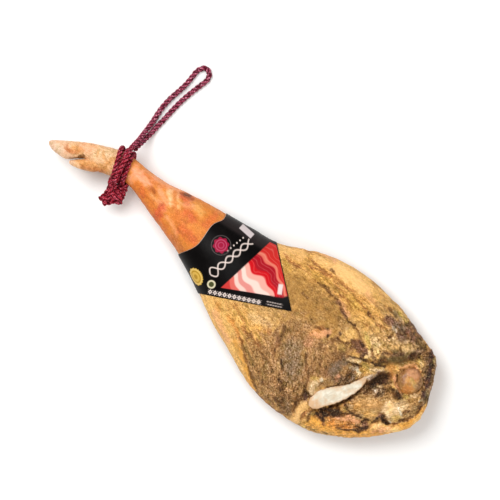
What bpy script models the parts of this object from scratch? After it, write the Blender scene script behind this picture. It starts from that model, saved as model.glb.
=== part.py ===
"""A whole cured ham on the bone, lying on its rind side with the cut side up, as a Blender script.

The pieces are the leg with its trotter, the two bone ends that the cut side shows, a card sleeve
round the shank, and a doubled rope: turns round the ankle, a knot with two tails, and a long loop that
drops to the table.
X runs from the toes to the butt end, Y across the leg and Z up. The origin is on the table, under the
middle of the leg. Sizes below are in millimetres, and MM turns them into Blender's metres.
"""

import math

import bmesh
import bpy
from mathutils import Vector

MM = 0.001
GAP = 0.4

# Sections of the leg from the ankle's toe end to the butt end:
# x, lowest y, highest y, underside, height of the widest line, top
LEG_ROWS = [
    (-352, 14, 14, 50, 50, 50),
    (-346, 6, 25, 36, 50, 64),
    (-334, -1, 34, 29, 50, 72),
    (-317, -6, 42, 26, 50, 76),
    (-298, 0, 50, 26, 51, 77),
    (-278, 8, 54, 29, 52, 75),
    (-256, 12, 54, 30, 53, 75),
    (-232, 8, 53, 30, 54, 77),
    (-195, -3, 56, 29, 53, 80),
    (-153, -15, 65, 26, 52, 87),
    (-111, -28, 73, 21, 51, 93),
    (-69, -46, 78, 15, 49, 98),
    (-27, -66, 84, 9, 46, 102),
    (14, -88, 90, 4, 44, 105),
    (56, -104, 109, 0, 42, 107),
    (98, -122, 128, -2, 40, 108),
    (140, -136, 138, -4, 39, 109),
    (182, -142, 142, -5, 38, 109),
    (224, -140, 140, -5, 38, 107),
    (266, -133, 134, -3, 38, 103),
    (308, -113, 120, 0, 40, 98),
    (340, -91, 112, 5, 42, 92),
    (364, -67, 102, 12, 44, 86),
    (377, -53, 80, 17, 46, 82),
    (390, -37, 53, 25, 48, 76),
    (400, -21, 30, 37, 50, 66),
    (405, 3, 3, 52, 52, 52),
]
# The same six numbers for one main claw and one dewclaw, with heights from the foot's middle
CLAW_ROWS = [
    (-405, -14, -14, 12, 12, 12),
    (-402, -18, -9, 6, 12, 18),
    (-391, -22, -1, 2, 12, 22),
    (-378, -22, 8, 1, 12, 24),
    (-364, -20, 17, 1, 12, 25),
    (-351, -9, 25, 1, 12, 25),
    (-338, 1, 32, 1, 12, 25),
    (-322, 8, 38, 2, 12, 24),
    (-306, 16, 41, 5, 12, 20),
    (-298, 28, 28, 12, 12, 12),
]
DEWCLAW_ROWS = [
    (-356, -19, -19, 14, 14, 14),
    (-352, -23, -14, 9, 14, 19),
    (-341, -21, -4, 6, 14, 22),
    (-327, -16, 6, 6, 14, 22),
    (-313, -9, 11, 7, 14, 21),
    (-299, 5, 5, 14, 14, 14),
]
FOOT_MIDDLE_Z = 50

# The leg's sides are elliptical at the shank, and peaked like a lens in the body
CREST_SHANK = 1.0
CREST_BODY = 1.12
CREST_CHANGE_X = (-150, 60)
# Length of a step between sections, up to the cut end and over it
LEG_STEP = 17
END_STEP = 8
END_FROM_X = 220
TOP_SIDES = 32
UNDER_SIDES = 16
TOE_STEP = 10
TOE_SIDES = 12

# Relief of the cut side, by lines in plan: x, y
LEDGE_LINE = [(300, -150), (262, -112), (238, -95), (236, -65), (250, -34), (254, -8), (252, 10), (282, 26), (311, 53),
              (330, 79), (338, 109), (340, 130)]
ROLL_LINE = [(255, -150), (262, -100), (277, -78), (310, -50), (345, -24), (372, 6), (384, 34), (378, 62), (360, 88),
             (345, 130)]
RIND_LINE = [(262, -104), (288, -86), (325, -60), (347, -50), (371, -34), (386, -13), (394, 12)]
STRIP_LINE = [(40, -62), (69, -74), (96, -96), (114, -111), (140, -124), (160, -131)]
SEAM_LINE = [(60, 62), (100, 74), (132, 82), (164, 80), (184, 70), (207, 62), (225, 55), (241, 46)]
HOLLOW_DEPTH = 15
RIND_GROOVE = (6.0, 9.0)
STRIP_GROOVE = (4.0, 8.0)
SEAM_GROOVE = (4.0, 8.0)
# Broad swellings and dips of the muscles: x, y, radius along x, radius along y, height
MOUNDS = [
    (120, 20, 60, 34, 4.0),
    (150, -60, 60, 30, 3.0),
    (205, 96, 60, 22, 4.0),
    (40, 20, 40, 30, 2.0),
    (196, -18, 16, 24, -5.0),
    (128, -22, 40, 12, -3.0),
    (332, 96, 22, 16, -4.0),
]

# Bone ends of the hip, in the hollow of the cut side
BALL_AT = (350, 44)
BALL_RADIUS = 21
BALL_PROUD = 10
BONE_START = (238, -80)
BONE_END = (283, -1)
BONE_WIDTH = 26
BONE_THICKNESS = 11
BONE_PROUD = 2.5

# Card sleeve round the shank. Its edges are lines in plan on the cut side: y, x
SLEEVE_LEAD = [(-40, -108), (-28, -104), (3, -89), (45, -90), (66, -81), (85, -86)]
SLEEVE_TIP = (111, 13)
SLEEVE_TRAIL_HIGH = (18, 91)
SLEEVE_TRAIL_LOW = (-28, -58.5)
SLEEVE_GAP = 0.9
SLEEVE_THICKNESS = 1.0
SLEEVE_TIP_LIFT = 2.5
SLEEVE_ROWS = 8

# Rope. It makes three turns round the ankle, and one strand of its loop lies over them
ROPE = 9.4
ROPE_SKIN_GAP = 0.5
TURNS = 3
TURN_PITCH = 10.5
TURN_START_X = -290.8
TURN_LEAN = 0.36
ANKLE_MIDDLE_Y = 30
TURN_POINTS = 18
ROPE_BEVEL = 2
STRAND_X = -277.5
STRAND_LEAN = 0.17
STRAND_LIFT = 10.0
TABLE_Z = 5.0
# From the ankle's far side out over the table and back: x, y, z
LOOP_ROUTE = [
    (-283.5, 84, 45), (-284.5, 104, 21), (-285.8, 124, 7), (-287.5, 142, TABLE_Z), (-288, 160, TABLE_Z),
    (-286, 180, TABLE_Z), (-282.5, 198, TABLE_Z), (-280, 214, TABLE_Z), (-279.5, 232, TABLE_Z), (-278.5, 246, TABLE_Z),
    (-271, 256.5, TABLE_Z), (-260, 254, TABLE_Z), (-255.5, 242, TABLE_Z), (-260, 223, TABLE_Z), (-265.5, 200, TABLE_Z),
    (-269.5, 177, TABLE_Z), (-271.5, 156, TABLE_Z), (-273, 138, TABLE_Z), (-274.5, 121, 5.6), (-275.5, 104, 12),
    (-277, 87, 27), (-278.5, 74.5, 38), (-279, 65.5, 44),
]
LOOP_POINTS = 78

# Knot: turns laid as a barrel beside the ankle, and two tails
KNOT_AT = (-254, -12, 44)
KNOT_AXIS = (0.28, -0.96, -0.05)
KNOT_LENGTH = 36
KNOT_RADIUS = 13
KNOT_LOBES = 4
LOBE_DEPTH = 1.8
LOBE_POINTS = 4
KNOT_STEPS = 16
FIRST_TAIL = [(-274.5, -40.5, 43), (-271, -28, 46), (-272.5, -13, 48), (-279, -1, 50)]
SECOND_TAIL = [(-251, -22, 42), (-256, -31, 42), (-261, -36, 42.5), (-265.3, -43, 43)]
TAIL_POINTS = 7

MATERIALS = {
    "cured_meat": ((0.46, 0.27, 0.11), 0.5),
    "bone": ((0.83, 0.76, 0.66), 0.6),
    "cartilage": ((0.42, 0.21, 0.09), 0.35),
    "sleeve_card": ((0.012, 0.010, 0.012), 0.3),
    "rope": ((0.30, 0.02, 0.06), 0.7),
}


def clear_scene():
    for obj in list(bpy.data.objects):
        bpy.data.objects.remove(obj)


def collection(name):
    made = bpy.data.collections.new(name)
    bpy.context.scene.collection.children.link(made)
    return made


def material(slot):
    colour, roughness = MATERIALS[slot]
    found = bpy.data.materials.get(slot)
    if found:
        return found
    made = bpy.data.materials.new(slot)
    made.use_nodes = True
    shader = made.node_tree.nodes["Principled BSDF"]
    shader.inputs["Base Color"].default_value = (*colour, 1)
    shader.inputs["Roughness"].default_value = roughness
    return made


def smooth_step(value):
    value = min(1.0, max(0.0, value))
    return value * value * (3 - 2 * value)


# Smooth lines through a few rows of numbers
def along(rows, t):
    """The Catmull-Rom curve through the rows, with a row at each whole t."""
    t = min(max(t, 0.0), len(rows) - 1.0)
    i = min(int(t), len(rows) - 2)
    u = t - i
    before, start, end, after = (rows[min(max(k, 0), len(rows) - 1)] for k in (i - 1, i, i + 1, i + 2))
    found = []
    for p0, p1, p2, p3 in zip(before, start, end, after):
        slope, bend = p2 - p0, 2 * p0 - 5 * p1 + 4 * p2 - p3
        found.append(0.5 * (2 * p1 + slope * u + bend * u * u + (3 * p1 - p0 - 3 * p2 + p3) * u**3))
    return found


def t_at(rows, column, value):
    """Where along the rows the numbers of that column reach a value. They must rise."""
    low, high = 0.0, len(rows) - 1.0
    for _ in range(30):
        middle = (low + high) / 2
        if along(rows, middle)[column] < value:
            low = middle
        else:
            high = middle
    return (low + high) / 2


def evenly(route, count):
    """count points spread evenly along the smooth curve through the route's points."""
    fine = [Vector(along(route, i * (len(route) - 1) / 600)) for i in range(601)]
    reach = [0.0]
    for a, b in zip(fine, fine[1:]):
        reach.append(reach[-1] + (b - a).length)
    points, k = [], 0
    for i in range(count):
        want = reach[-1] * i / (count - 1)
        while k < len(fine) - 2 and reach[k + 1] < want:
            k += 1
        share = (want - reach[k]) / max(reach[k + 1] - reach[k], 1e-9)
        points.append(fine[k].lerp(fine[k + 1], min(1.0, share)))
    return points


def line_distance(x, y, line):
    """How far a point in plan is from a line of straight pieces."""
    best = 1e9
    for (ax, ay), (bx, by) in zip(line, line[1:]):
        dx, dy = bx - ax, by - ay
        share = min(1.0, max(0.0, ((x - ax) * dx + (y - ay) * dy) / (dx * dx + dy * dy)))
        best = min(best, math.hypot(x - ax - share * dx, y - ay - share * dy))
    return best


def x_on_line(y, line):
    """The x of a line in plan at a given y, for a line whose y rises."""
    for (ax, ay), (bx, by) in zip(line, line[1:]):
        if y <= by:
            return ax + (bx - ax) * min(1.0, max(0.0, (y - ay) / (by - ay)))
    return line[-1][0]


# The leg's form
def relief(x, y):
    """Height that the cut side has over the plain form: the hip's hollow, seams between muscles and swellings."""
    past_ledge = smooth_step((x - x_on_line(y, LEDGE_LINE) + 6) / 20)
    before_roll = smooth_step((x_on_line(y, ROLL_LINE) - x) / 16)
    height = -HOLLOW_DEPTH * past_ledge * before_roll
    for line, (depth, width) in ((RIND_LINE, RIND_GROOVE), (STRIP_LINE, STRIP_GROOVE), (SEAM_LINE, SEAM_GROOVE)):
        height -= depth * math.exp(-((line_distance(x, y, line) / width) ** 2))
    for at_x, at_y, radius_x, radius_y, rise in MOUNDS:
        height += rise * math.exp(-(((x - at_x) / radius_x) ** 2) - ((y - at_y) / radius_y) ** 2)
    return height * smooth_step((x - trail_x(y) - 4) / 26)


def crest(x):
    low, high = CREST_CHANGE_X
    return CREST_SHANK + (CREST_BODY - CREST_SHANK) * smooth_step((x - low) / (high - low))


def section_point(row, angle, peak=1.0):
    """A point of the section at that angle, which is 0 at the highest y and a quarter turn at the top."""
    x, y_low, y_high, z_low, z_rim, z_top = row
    c, s = math.cos(angle), math.sin(angle)
    y = (y_low + y_high) / 2 + (y_high - y_low) / 2 * c
    if s >= 0:
        return Vector((x, y, z_rim + (z_top - z_rim) * s**peak))
    return Vector((x, y, z_rim + (z_rim - z_low) * s))


def leg_angles():
    return [math.pi * k / TOP_SIDES for k in range(TOP_SIDES)] + [
        math.pi * (1 + k / UNDER_SIDES) for k in range(UNDER_SIDES)
    ]


def leg_plain(t, angle):
    row = along(LEG_ROWS, t)
    return section_point(row, angle, crest(row[0]))


def leg_point(t, angle):
    """A point of the leg's surface, with the relief of the cut side and the flat that it lies on."""
    point = leg_plain(t, angle)
    if math.sin(angle) > 0:
        point.z += relief(point.x, point.y) * min(1.0, 1.5 * math.sin(angle))
    point.z = max(point.z, 0.0)
    return point


def leg_outside(x, angle, offset):
    """A point at that distance outside the leg's plain form, at that x and angle."""
    t = t_at(LEG_ROWS, 0, x)
    across = leg_plain(t, angle + 0.01) - leg_plain(t, angle - 0.01)
    forward = leg_plain(t + 0.02, angle) - leg_plain(t - 0.02, angle)
    return leg_plain(t, angle) + offset * across.cross(forward).normalized()


def leg_top(x, y):
    """Height of the cut side over a point in plan."""
    t = t_at(LEG_ROWS, 0, x)
    row = along(LEG_ROWS, t)
    half = (row[2] - row[1]) / 2
    return leg_point(t, math.acos(min(1.0, max(-1.0, (y - row[1] - half) / half)))).z


def loft(name, rows, step_at, angles, point_at):
    """A closed mesh through rows of sections whose first and last are single points."""
    stations = []
    for i in range(len(rows) - 1):
        pieces = math.ceil((rows[i + 1][0] - rows[i][0]) / step_at(rows[i][0]))
        stations += [i + k / pieces for k in range(pieces)]
    mesh = bmesh.new()
    rings = [[mesh.verts.new(point_at(t, a) * MM) for a in angles] for t in stations[1:]]
    first = mesh.verts.new(point_at(0.0, 0.0) * MM)
    last = mesh.verts.new(point_at(len(rows) - 1.0, 0.0) * MM)
    for k in range(len(angles)):
        n = (k + 1) % len(angles)
        for a, b in zip(rings, rings[1:]):
            mesh.faces.new((a[k], a[n], b[n], b[k]))
        mesh.faces.new((first, rings[0][n], rings[0][k]))
        mesh.faces.new((last, rings[-1][k], rings[-1][n]))
    return mesh_object(name, mesh)


def mesh_object(name, mesh):
    """An object from a bmesh, with its faces turned outwards and shaded smooth."""
    bmesh.ops.recalc_face_normals(mesh, faces=mesh.faces)
    data = bpy.data.meshes.new(name)
    mesh.to_mesh(data)
    mesh.free()
    data.shade_smooth()
    return bpy.data.objects.new(name, data)


def put(obj, group, slot=None):
    """Links an object to its collection, with its material, or as a helper that isn't part of the model."""
    group.objects.link(obj)
    if slot:
        obj.data.materials.append(material(slot))
    else:
        obj.hide_render = True
        obj.display_type = "WIRE"
    return obj


def boolean(obj, name, operation, operand):
    modifier = obj.modifiers.new(name, "BOOLEAN")
    modifier.operation = operation
    modifier.solver = "EXACT"
    if isinstance(operand, bpy.types.Collection):
        modifier.operand_type = "COLLECTION"
        modifier.collection = operand
    else:
        modifier.object = operand


def toe(name, rows, side):
    """A claw above the foot's middle, or its twin below."""
    raised = []
    for x, y_low, y_high, *heights in rows:
        low, middle, high = sorted(FOOT_MIDDLE_Z + side * h for h in heights)
        raised.append((x, y_low, y_high, low, middle, high))
    angles = [math.tau * (k + 0.37) / TOE_SIDES for k in range(TOE_SIDES)]
    return loft(name, raised, lambda x: TOE_STEP, angles, lambda t, a: section_point(along(raised, t), a))


def make_leg(parts, toes, cutters):
    leg = loft("ham", LEG_ROWS, lambda x: LEG_STEP if x < END_FROM_X else END_STEP, leg_angles(), leg_point)
    put(leg, parts, "cured_meat")
    for side, word in ((1, "upper"), (-1, "lower")):
        put(toe(f"{word}_claw", CLAW_ROWS, side), toes)
        put(toe(f"{word}_dewclaw", DEWCLAW_ROWS, side), toes)
    boolean(leg, "toes", "UNION", toes)
    boolean(leg, "bone_pockets", "DIFFERENCE", cutters)


# Bones
def ball(name, radius):
    mesh = bmesh.new()
    bmesh.ops.create_uvsphere(mesh, u_segments=20, v_segments=12, radius=radius * MM)
    obj = mesh_object(name, mesh)
    x, y = BALL_AT
    obj.location = Vector((x, y, leg_top(x, y) + BALL_PROUD - BALL_RADIUS)) * MM
    return obj


def bone(name, swell):
    """The sawn edge of the hip bone: a long leaf that lies across the hollow, thick in its middle."""
    start, end = (Vector((x, y, leg_top(x, y) + BONE_PROUD)) for x, y in (BONE_START, BONE_END))
    length = (end - start).length
    half_width, half_thickness = BONE_WIDTH / 2, BONE_THICKNESS / 2
    shares = [(0.0, 0.0), (0.04, 0.55), (0.16, 0.9), (0.4, 1.0), (0.66, 0.76), (0.86, 0.42), (1.0, 0.0)]
    rows = []
    for share, wide in shares:
        reach = (share - 0.5) * length + (2 * share - 1) * swell
        across, up = half_width * wide + swell, half_thickness * wide**0.5 + swell
        if wide == 0:
            across = up = 0
        rows.append((reach, -across, across, -up, 0, up))
    angles = [math.tau * k / 14 for k in range(14)]
    obj = loft(name, rows, lambda reach: length / 6, angles, lambda t, a: section_point(along(rows, t), a, 0.8))
    obj.rotation_euler = (end - start).to_track_quat("X", "Z").to_euler()
    obj.location = ((start + end) / 2 - Vector((0, 0, half_thickness))) * MM
    return obj


def make_bones(parts, cutters):
    put(ball("femur_head", BALL_RADIUS), parts, "cartilage")
    put(ball("femur_pocket", BALL_RADIUS + GAP), cutters)
    put(bone("hip_bone", 0), parts, "bone")
    put(bone("hip_bone_pocket", GAP), cutters)


# Card sleeve
def edge_at(angle, line_x, high_x, low_x):
    """The x of a sleeve edge at an angle: on its line in plan above, and from one side to the other below."""
    if math.sin(angle) <= 0:
        share = (angle % math.tau - math.pi) / math.pi
        return low_x + (high_x - low_x) * smooth_step(share)
    x = 0.0
    for _ in range(40):
        y = leg_outside(x, angle, SLEEVE_GAP).y
        x += 0.6 * (line_x(y) - x)
    return x


def lead_x(y):
    return along([(x, at) for at, x in SLEEVE_LEAD], t_at([(at,) for at, _ in SLEEVE_LEAD], 0, y))[0]


def trail_x(y):
    tip_x, tip_y = SLEEVE_TIP
    side_x, side_y = SLEEVE_TRAIL_HIGH if y > tip_y else SLEEVE_TRAIL_LOW
    return tip_x + (side_x - tip_x) * (y - tip_y) / (side_y - tip_y)


def make_sleeve(parts):
    mesh = bmesh.new()
    columns = []
    for angle in leg_angles():
        start = edge_at(angle, lead_x, lead_x(85), lead_x(-28))
        end = edge_at(angle, trail_x, SLEEVE_TRAIL_HIGH[0], SLEEVE_TRAIL_LOW[0])
        column = []
        for i in range(SLEEVE_ROWS + 1):
            x = start + (end - start) * i / SLEEVE_ROWS
            lift = SLEEVE_TIP_LIFT * smooth_step((x - 40) / 70)
            column.append(mesh.verts.new(leg_outside(x, angle, SLEEVE_GAP + lift) * MM))
        columns.append(column)
    for a, b in zip(columns, columns[1:] + columns[:1]):
        for i in range(SLEEVE_ROWS):
            mesh.faces.new((a[i], b[i], b[i + 1], a[i + 1]))
    sleeve = put(mesh_object("card_sleeve", mesh), parts, "sleeve_card")
    solidify = sleeve.modifiers.new("card", "SOLIDIFY")
    solidify.thickness = SLEEVE_THICKNESS * MM
    solidify.offset = 1.0


# Rope
def tube(name, points):
    """A rope as a curve with flat ends."""
    data = bpy.data.curves.new(name, "CURVE")
    data.dimensions = "3D"
    data.bevel_depth = ROPE / 2 * MM
    data.bevel_resolution = ROPE_BEVEL
    data.use_fill_caps = True
    spline = data.splines.new("POLY")
    spline.points.add(len(points) - 1)
    for place, point in zip(spline.points, points):
        place.co = (*(Vector(point) * MM), 1)
    return bpy.data.objects.new(name, data)


def rope_mesh(name, points):
    """The same rope as a closed mesh, for joining to another."""
    guide = tube(name + "_guide", points)
    bpy.context.scene.collection.objects.link(guide)
    graph = bpy.context.evaluated_depsgraph_get()
    data = bpy.data.meshes.new_from_object(guide.evaluated_get(graph))
    bpy.data.objects.remove(guide)
    mesh = bmesh.new()
    mesh.from_mesh(data)
    bmesh.ops.remove_doubles(mesh, verts=mesh.verts, dist=1e-6)
    return mesh_object(name, mesh)


def over_ankle(angle, base_x, lean, lift=0.0):
    """A rope's centre over the ankle's skin, for a rope whose plane leans along the leg."""
    y = leg_outside(base_x, angle, ROPE / 2).y
    x = base_x - lean * (y - ANKLE_MIDDLE_Y)
    return leg_outside(x, angle, ROPE / 2 + ROPE_SKIN_GAP + lift)


def turns_route():
    """From the first tail's end up over the ankle, round it and into the knot."""
    route = evenly(FIRST_TAIL, TAIL_POINTS)
    for k in range(TURNS * TURN_POINTS):
        turn = k / TURN_POINTS
        route.append(over_ankle(math.pi - math.tau * turn, TURN_START_X + TURN_PITCH * turn, TURN_LEAN))
    return route + [Vector(KNOT_AT)]


def loop_route():
    """From the knot over the turns, out over the table, round the loop's end and back to the turns."""
    angles = [math.radians(a) for a in (155, 138, 120, 100, 80, 60, 40, 20)]
    over = [over_ankle(a, STRAND_X, STRAND_LEAN, STRAND_LIFT) for a in angles]
    return evenly([(-263, -9, 63.5)] + over + LOOP_ROUTE, LOOP_POINTS)


def barrel(name):
    """The knot's body: a turned shape with a lobe for each turn of rope."""
    count = KNOT_LOBES * LOBE_POINTS
    profile = [(0.0, KNOT_LENGTH / 2)]
    for k in range(count + 1):
        share = k / count
        lobe = abs(math.sin(math.pi * KNOT_LOBES * share))
        inset = 1.0 if 0 < k < count else 2.4
        radius = KNOT_RADIUS - inset * LOBE_DEPTH * (1 - lobe**0.7)
        profile.append((radius, KNOT_LENGTH * (0.5 - share) * 0.999))
    profile.append((0.0, -KNOT_LENGTH / 2))
    mesh = bmesh.new()
    verts = [mesh.verts.new(Vector((r, 0, z)) * MM) for r, z in profile]
    for a, b in zip(verts, verts[1:]):
        mesh.edges.new((a, b))
    obj = mesh_object(name, mesh)
    screw = obj.modifiers.new("turned", "SCREW")
    screw.steps = screw.render_steps = KNOT_STEPS
    screw.use_merge_vertices = True
    screw.merge_threshold = 1e-5
    obj.rotation_euler = Vector(KNOT_AXIS).to_track_quat("Z", "Y").to_euler()
    obj.location = Vector(KNOT_AT) * MM
    return obj


def make_rope(parts, strands):
    put(tube("rope_loop", loop_route()), parts, "rope")
    knot = put(barrel("rope_knot"), parts, "rope")
    put(rope_mesh("turns", turns_route()), strands)
    put(rope_mesh("second_tail", evenly(SECOND_TAIL, TAIL_POINTS)), strands)
    boolean(knot, "strands", "UNION", strands)


def main():
    clear_scene()
    parts = collection("cured_ham")
    toes = collection("toes")
    cutters = collection("cutters")
    strands = collection("strands")
    make_bones(parts, cutters)
    make_leg(parts, toes, cutters)
    make_sleeve(parts)
    make_rope(parts, strands)


main()
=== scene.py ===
"""The looks of a whole cured ham that lies on its rind with the cut side up.

Lengths are in millimetres, in the part's own frame, up to the point where a mesh is made: X from the
toes to the butt end, Y across the leg, Z up. The leg's form, its relief, the sleeve's edges and the
rope's route repeat the values of the part's source, with finer steps and more relief.
"""

import math

import bmesh
import bpy
import numpy as np
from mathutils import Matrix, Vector


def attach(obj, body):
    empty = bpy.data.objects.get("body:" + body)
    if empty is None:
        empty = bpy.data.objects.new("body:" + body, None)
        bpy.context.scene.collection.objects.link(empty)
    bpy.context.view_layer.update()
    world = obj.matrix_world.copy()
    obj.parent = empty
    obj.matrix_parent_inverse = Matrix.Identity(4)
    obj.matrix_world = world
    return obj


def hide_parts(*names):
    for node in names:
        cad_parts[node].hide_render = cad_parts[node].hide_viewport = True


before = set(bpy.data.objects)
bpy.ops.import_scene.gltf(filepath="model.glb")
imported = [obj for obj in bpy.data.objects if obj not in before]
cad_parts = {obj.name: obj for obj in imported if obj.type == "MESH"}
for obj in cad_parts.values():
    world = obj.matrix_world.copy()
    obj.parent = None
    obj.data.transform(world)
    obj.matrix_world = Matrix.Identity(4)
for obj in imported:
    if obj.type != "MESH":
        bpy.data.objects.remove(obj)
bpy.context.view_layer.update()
MM = 0.001

# Shared values of the part's source
# Sections: x, the lowest and the highest y, and z at the bottom, at the widest outline and at the top
LEG_ROWS = [
    (-352, 14, 14, 50, 50, 50),
    (-346, 6, 25, 36, 50, 64),
    (-334, -1, 34, 29, 50, 72),
    (-317, -6, 42, 26, 50, 76),
    (-298, 0, 50, 26, 51, 77),
    (-278, 8, 54, 29, 52, 75),
    (-256, 12, 54, 30, 53, 75),
    (-232, 8, 53, 30, 54, 77),
    (-195, -3, 56, 29, 53, 80),
    (-153, -15, 65, 26, 52, 87),
    (-111, -28, 73, 21, 51, 93),
    (-69, -46, 78, 15, 49, 98),
    (-27, -66, 84, 9, 46, 102),
    (14, -88, 90, 4, 44, 105),
    (56, -104, 109, 0, 42, 107),
    (98, -122, 128, -2, 40, 108),
    (140, -136, 138, -4, 39, 109),
    (182, -142, 142, -5, 38, 109),
    (224, -140, 140, -5, 38, 107),
    (266, -133, 134, -3, 38, 103),
    (308, -113, 120, 0, 40, 98),
    (340, -91, 112, 5, 42, 92),
    (364, -67, 102, 12, 44, 86),
    (377, -53, 80, 17, 46, 82),
    (390, -37, 53, 25, 48, 76),
    (400, -21, 30, 37, 50, 66),
    (405, 3, 3, 52, 52, 52),
]
CLAW_ROWS = [
    (-405, -14, -14, 12, 12, 12),
    (-402, -18, -9, 6, 12, 18),
    (-391, -22, -1, 2, 12, 22),
    (-378, -22, 8, 1, 12, 24),
    (-364, -20, 17, 1, 12, 25),
    (-351, -9, 25, 1, 12, 25),
    (-338, 1, 32, 1, 12, 25),
    (-322, 8, 38, 2, 12, 24),
    (-306, 16, 41, 5, 12, 20),
    (-298, 28, 28, 12, 12, 12),
]
DEWCLAW_ROWS = [
    (-356, -19, -19, 14, 14, 14),
    (-352, -23, -14, 9, 14, 19),
    (-341, -21, -4, 6, 14, 22),
    (-327, -16, 6, 6, 14, 22),
    (-313, -9, 11, 7, 14, 21),
    (-299, 5, 5, 14, 14, 14),
]
FOOT_MIDDLE_Z = 50
CREST_SHANK = 1.0
CREST_BODY = 1.12
CREST_CHANGE_X = (-150, 60)
LEDGE_LINE = [
    (300, -150), (262, -112), (238, -95), (236, -65), (250, -34), (254, -8), (252, 10), (282, 26), (311, 53),
    (330, 79), (338, 109), (340, 130),
]
ROLL_LINE = [
    (255, -150), (262, -100), (277, -78), (310, -50), (345, -24), (372, 6), (384, 34), (378, 62), (360, 88),
    (345, 130),
]
RIND_LINE = [(262, -104), (288, -86), (325, -60), (347, -50), (371, -34), (386, -13), (394, 12)]
STRIP_LINE = [(40, -62), (69, -74), (96, -96), (114, -111), (140, -124), (160, -131)]
SEAM_LINE = [(60, 62), (100, 74), (132, 82), (164, 80), (184, 70), (207, 62), (225, 55), (241, 46)]
HOLLOW_DEPTH = 15
MOUNDS = [
    (120, 20, 60, 34, 4.0),
    (150, -60, 60, 30, 3.0),
    (205, 96, 60, 22, 4.0),
    (40, 20, 40, 30, 2.0),
    (196, -18, 16, 24, -5.0),
    (128, -22, 40, 12, -3.0),
    (332, 96, 22, 16, -4.0),
]
BALL_AT = (350, 44)
BALL_RADIUS = 21
BALL_PROUD = 10
BALL_HEIGHT = 15
BONE_START = (238, -80)
BONE_END = (283, -1)
BONE_PROUD = 2.5
SLEEVE_LEAD = [(-40, -108), (-28, -104), (3, -89), (45, -90), (66, -81), (85, -86)]
SLEEVE_TIP = (111, 13)
SLEEVE_TRAIL_HIGH = (18, 91)
SLEEVE_TRAIL_LOW = (-28, -58.5)
SLEEVE_GAP = 0.9
SLEEVE_TIP_LIFT = 2.5
ROPE = 9.4
ROPE_SKIN_GAP = 0.5
TURNS = 3
TURN_PITCH = 10.5
TURN_START_X = -290.8
TURN_LEAN = 0.36
ANKLE_MIDDLE_Y = 30
STRAND_X = -277.5
STRAND_LEAN = 0.17
STRAND_LIFT = 10.0
TABLE_Z = 5.0
LOOP_ROUTE = [
    (-283.5, 84, 45), (-284.5, 104, 21), (-285.8, 124, 7), (-287.5, 142, TABLE_Z), (-288, 160, TABLE_Z),
    (-286, 180, TABLE_Z), (-282.5, 198, TABLE_Z), (-280, 214, TABLE_Z), (-279.5, 232, TABLE_Z),
    (-278.5, 246, TABLE_Z), (-271, 256.5, TABLE_Z), (-260, 254, TABLE_Z), (-255.5, 242, TABLE_Z),
    (-260, 223, TABLE_Z), (-265.5, 200, TABLE_Z), (-269.5, 177, TABLE_Z), (-271.5, 156, TABLE_Z),
    (-273, 138, TABLE_Z), (-274.5, 121, 5.6), (-275.5, 104, 12), (-277, 87, 27), (-278.5, 74.5, 38),
    (-279, 65.5, 44),
]
KNOT_AT = (-254, -12, 44)
KNOT_AXIS = (0.28, -0.96, -0.05)
KNOT_LENGTH = 36
KNOT_RADIUS = 13
KNOT_LOBES = 4
FIRST_TAIL = [(-274.5, -40.5, 43), (-271, -28, 46), (-272.5, -13, 48), (-279, -1, 50)]
SECOND_TAIL = [(-251, -22, 42), (-256, -31, 42), (-261, -36, 42.5), (-265.3, -43, 43)]
STUB = [(-277, 2, 52), (-269, -12, 51), (-264, -27, 46), (-268, -40.5, 44)]


# Numbers along lines
CURVE_SAMPLES = 6001


def smooth_step(value, low=0.0, high=1.0):
    value = np.clip((np.asarray(value, float) - low) / (high - low), 0, 1)
    return value * value * (3 - 2 * value)


def band(value, start, risen, falling, end):
    """A share that rises from 0 to 1 and falls to 0 again."""
    return smooth_step(value, start, risen) * (1 - smooth_step(value, falling, end))


def along(rows, t):
    """The Catmull-Rom curve through the rows, with a row at each whole t."""
    rows = np.asarray(rows, float)
    t = np.clip(np.asarray(t, float), 0, len(rows) - 1)
    i = np.minimum(t.astype(int), len(rows) - 2)
    u = (t - i)[..., None]
    p0, p1, p2, p3 = (rows[np.clip(k, 0, len(rows) - 1)] for k in (i - 1, i, i + 1, i + 2))
    bend = 2 * p0 - 5 * p1 + 4 * p2 - p3
    return 0.5 * (2 * p1 + (p2 - p0) * u + bend * u**2 + (3 * p1 - p0 - 3 * p2 + p3) * u**3)


def evenly(route, count=None, step=None):
    """Points spread evenly along the smooth curve through the route's points."""
    fine = along(route, np.linspace(0, len(route) - 1, CURVE_SAMPLES))
    reach = np.concatenate([[0], np.cumsum(np.linalg.norm(np.diff(fine, axis=0), axis=1))])
    count = count or max(4, int(round(reach[-1] / step)) + 1)
    want = np.linspace(0, reach[-1], count)
    return np.stack([np.interp(want, reach, fine[:, k]) for k in range(3)], axis=1)


def line_distance(x, y, line):
    best = np.full(np.shape(x), 1e9)
    for (ax, ay), (bx, by) in zip(line, line[1:]):
        dx, dy = bx - ax, by - ay
        share = np.clip(((x - ax) * dx + (y - ay) * dy) / (dx * dx + dy * dy), 0, 1)
        best = np.minimum(best, np.hypot(x - ax - share * dx, y - ay - share * dy))
    return best


def outline_distance(x, y, outline):
    """Distance from a closed outline, below zero inside it."""
    closed = outline + outline[:1]
    inside = np.zeros(np.shape(x), bool)
    for (ax, ay), (bx, by) in zip(closed, closed[1:]):
        crosses = (ay > y) != (by > y)
        with np.errstate(divide="ignore", invalid="ignore"):
            at = ax + (y - ay) * (bx - ax) / (by - ay)
        inside ^= crosses & (x < at)
    return line_distance(x, y, closed) * np.where(inside, -1, 1)


def x_on_line(y, line):
    xs, ys = zip(*line)
    return np.interp(y, ys, xs)


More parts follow.
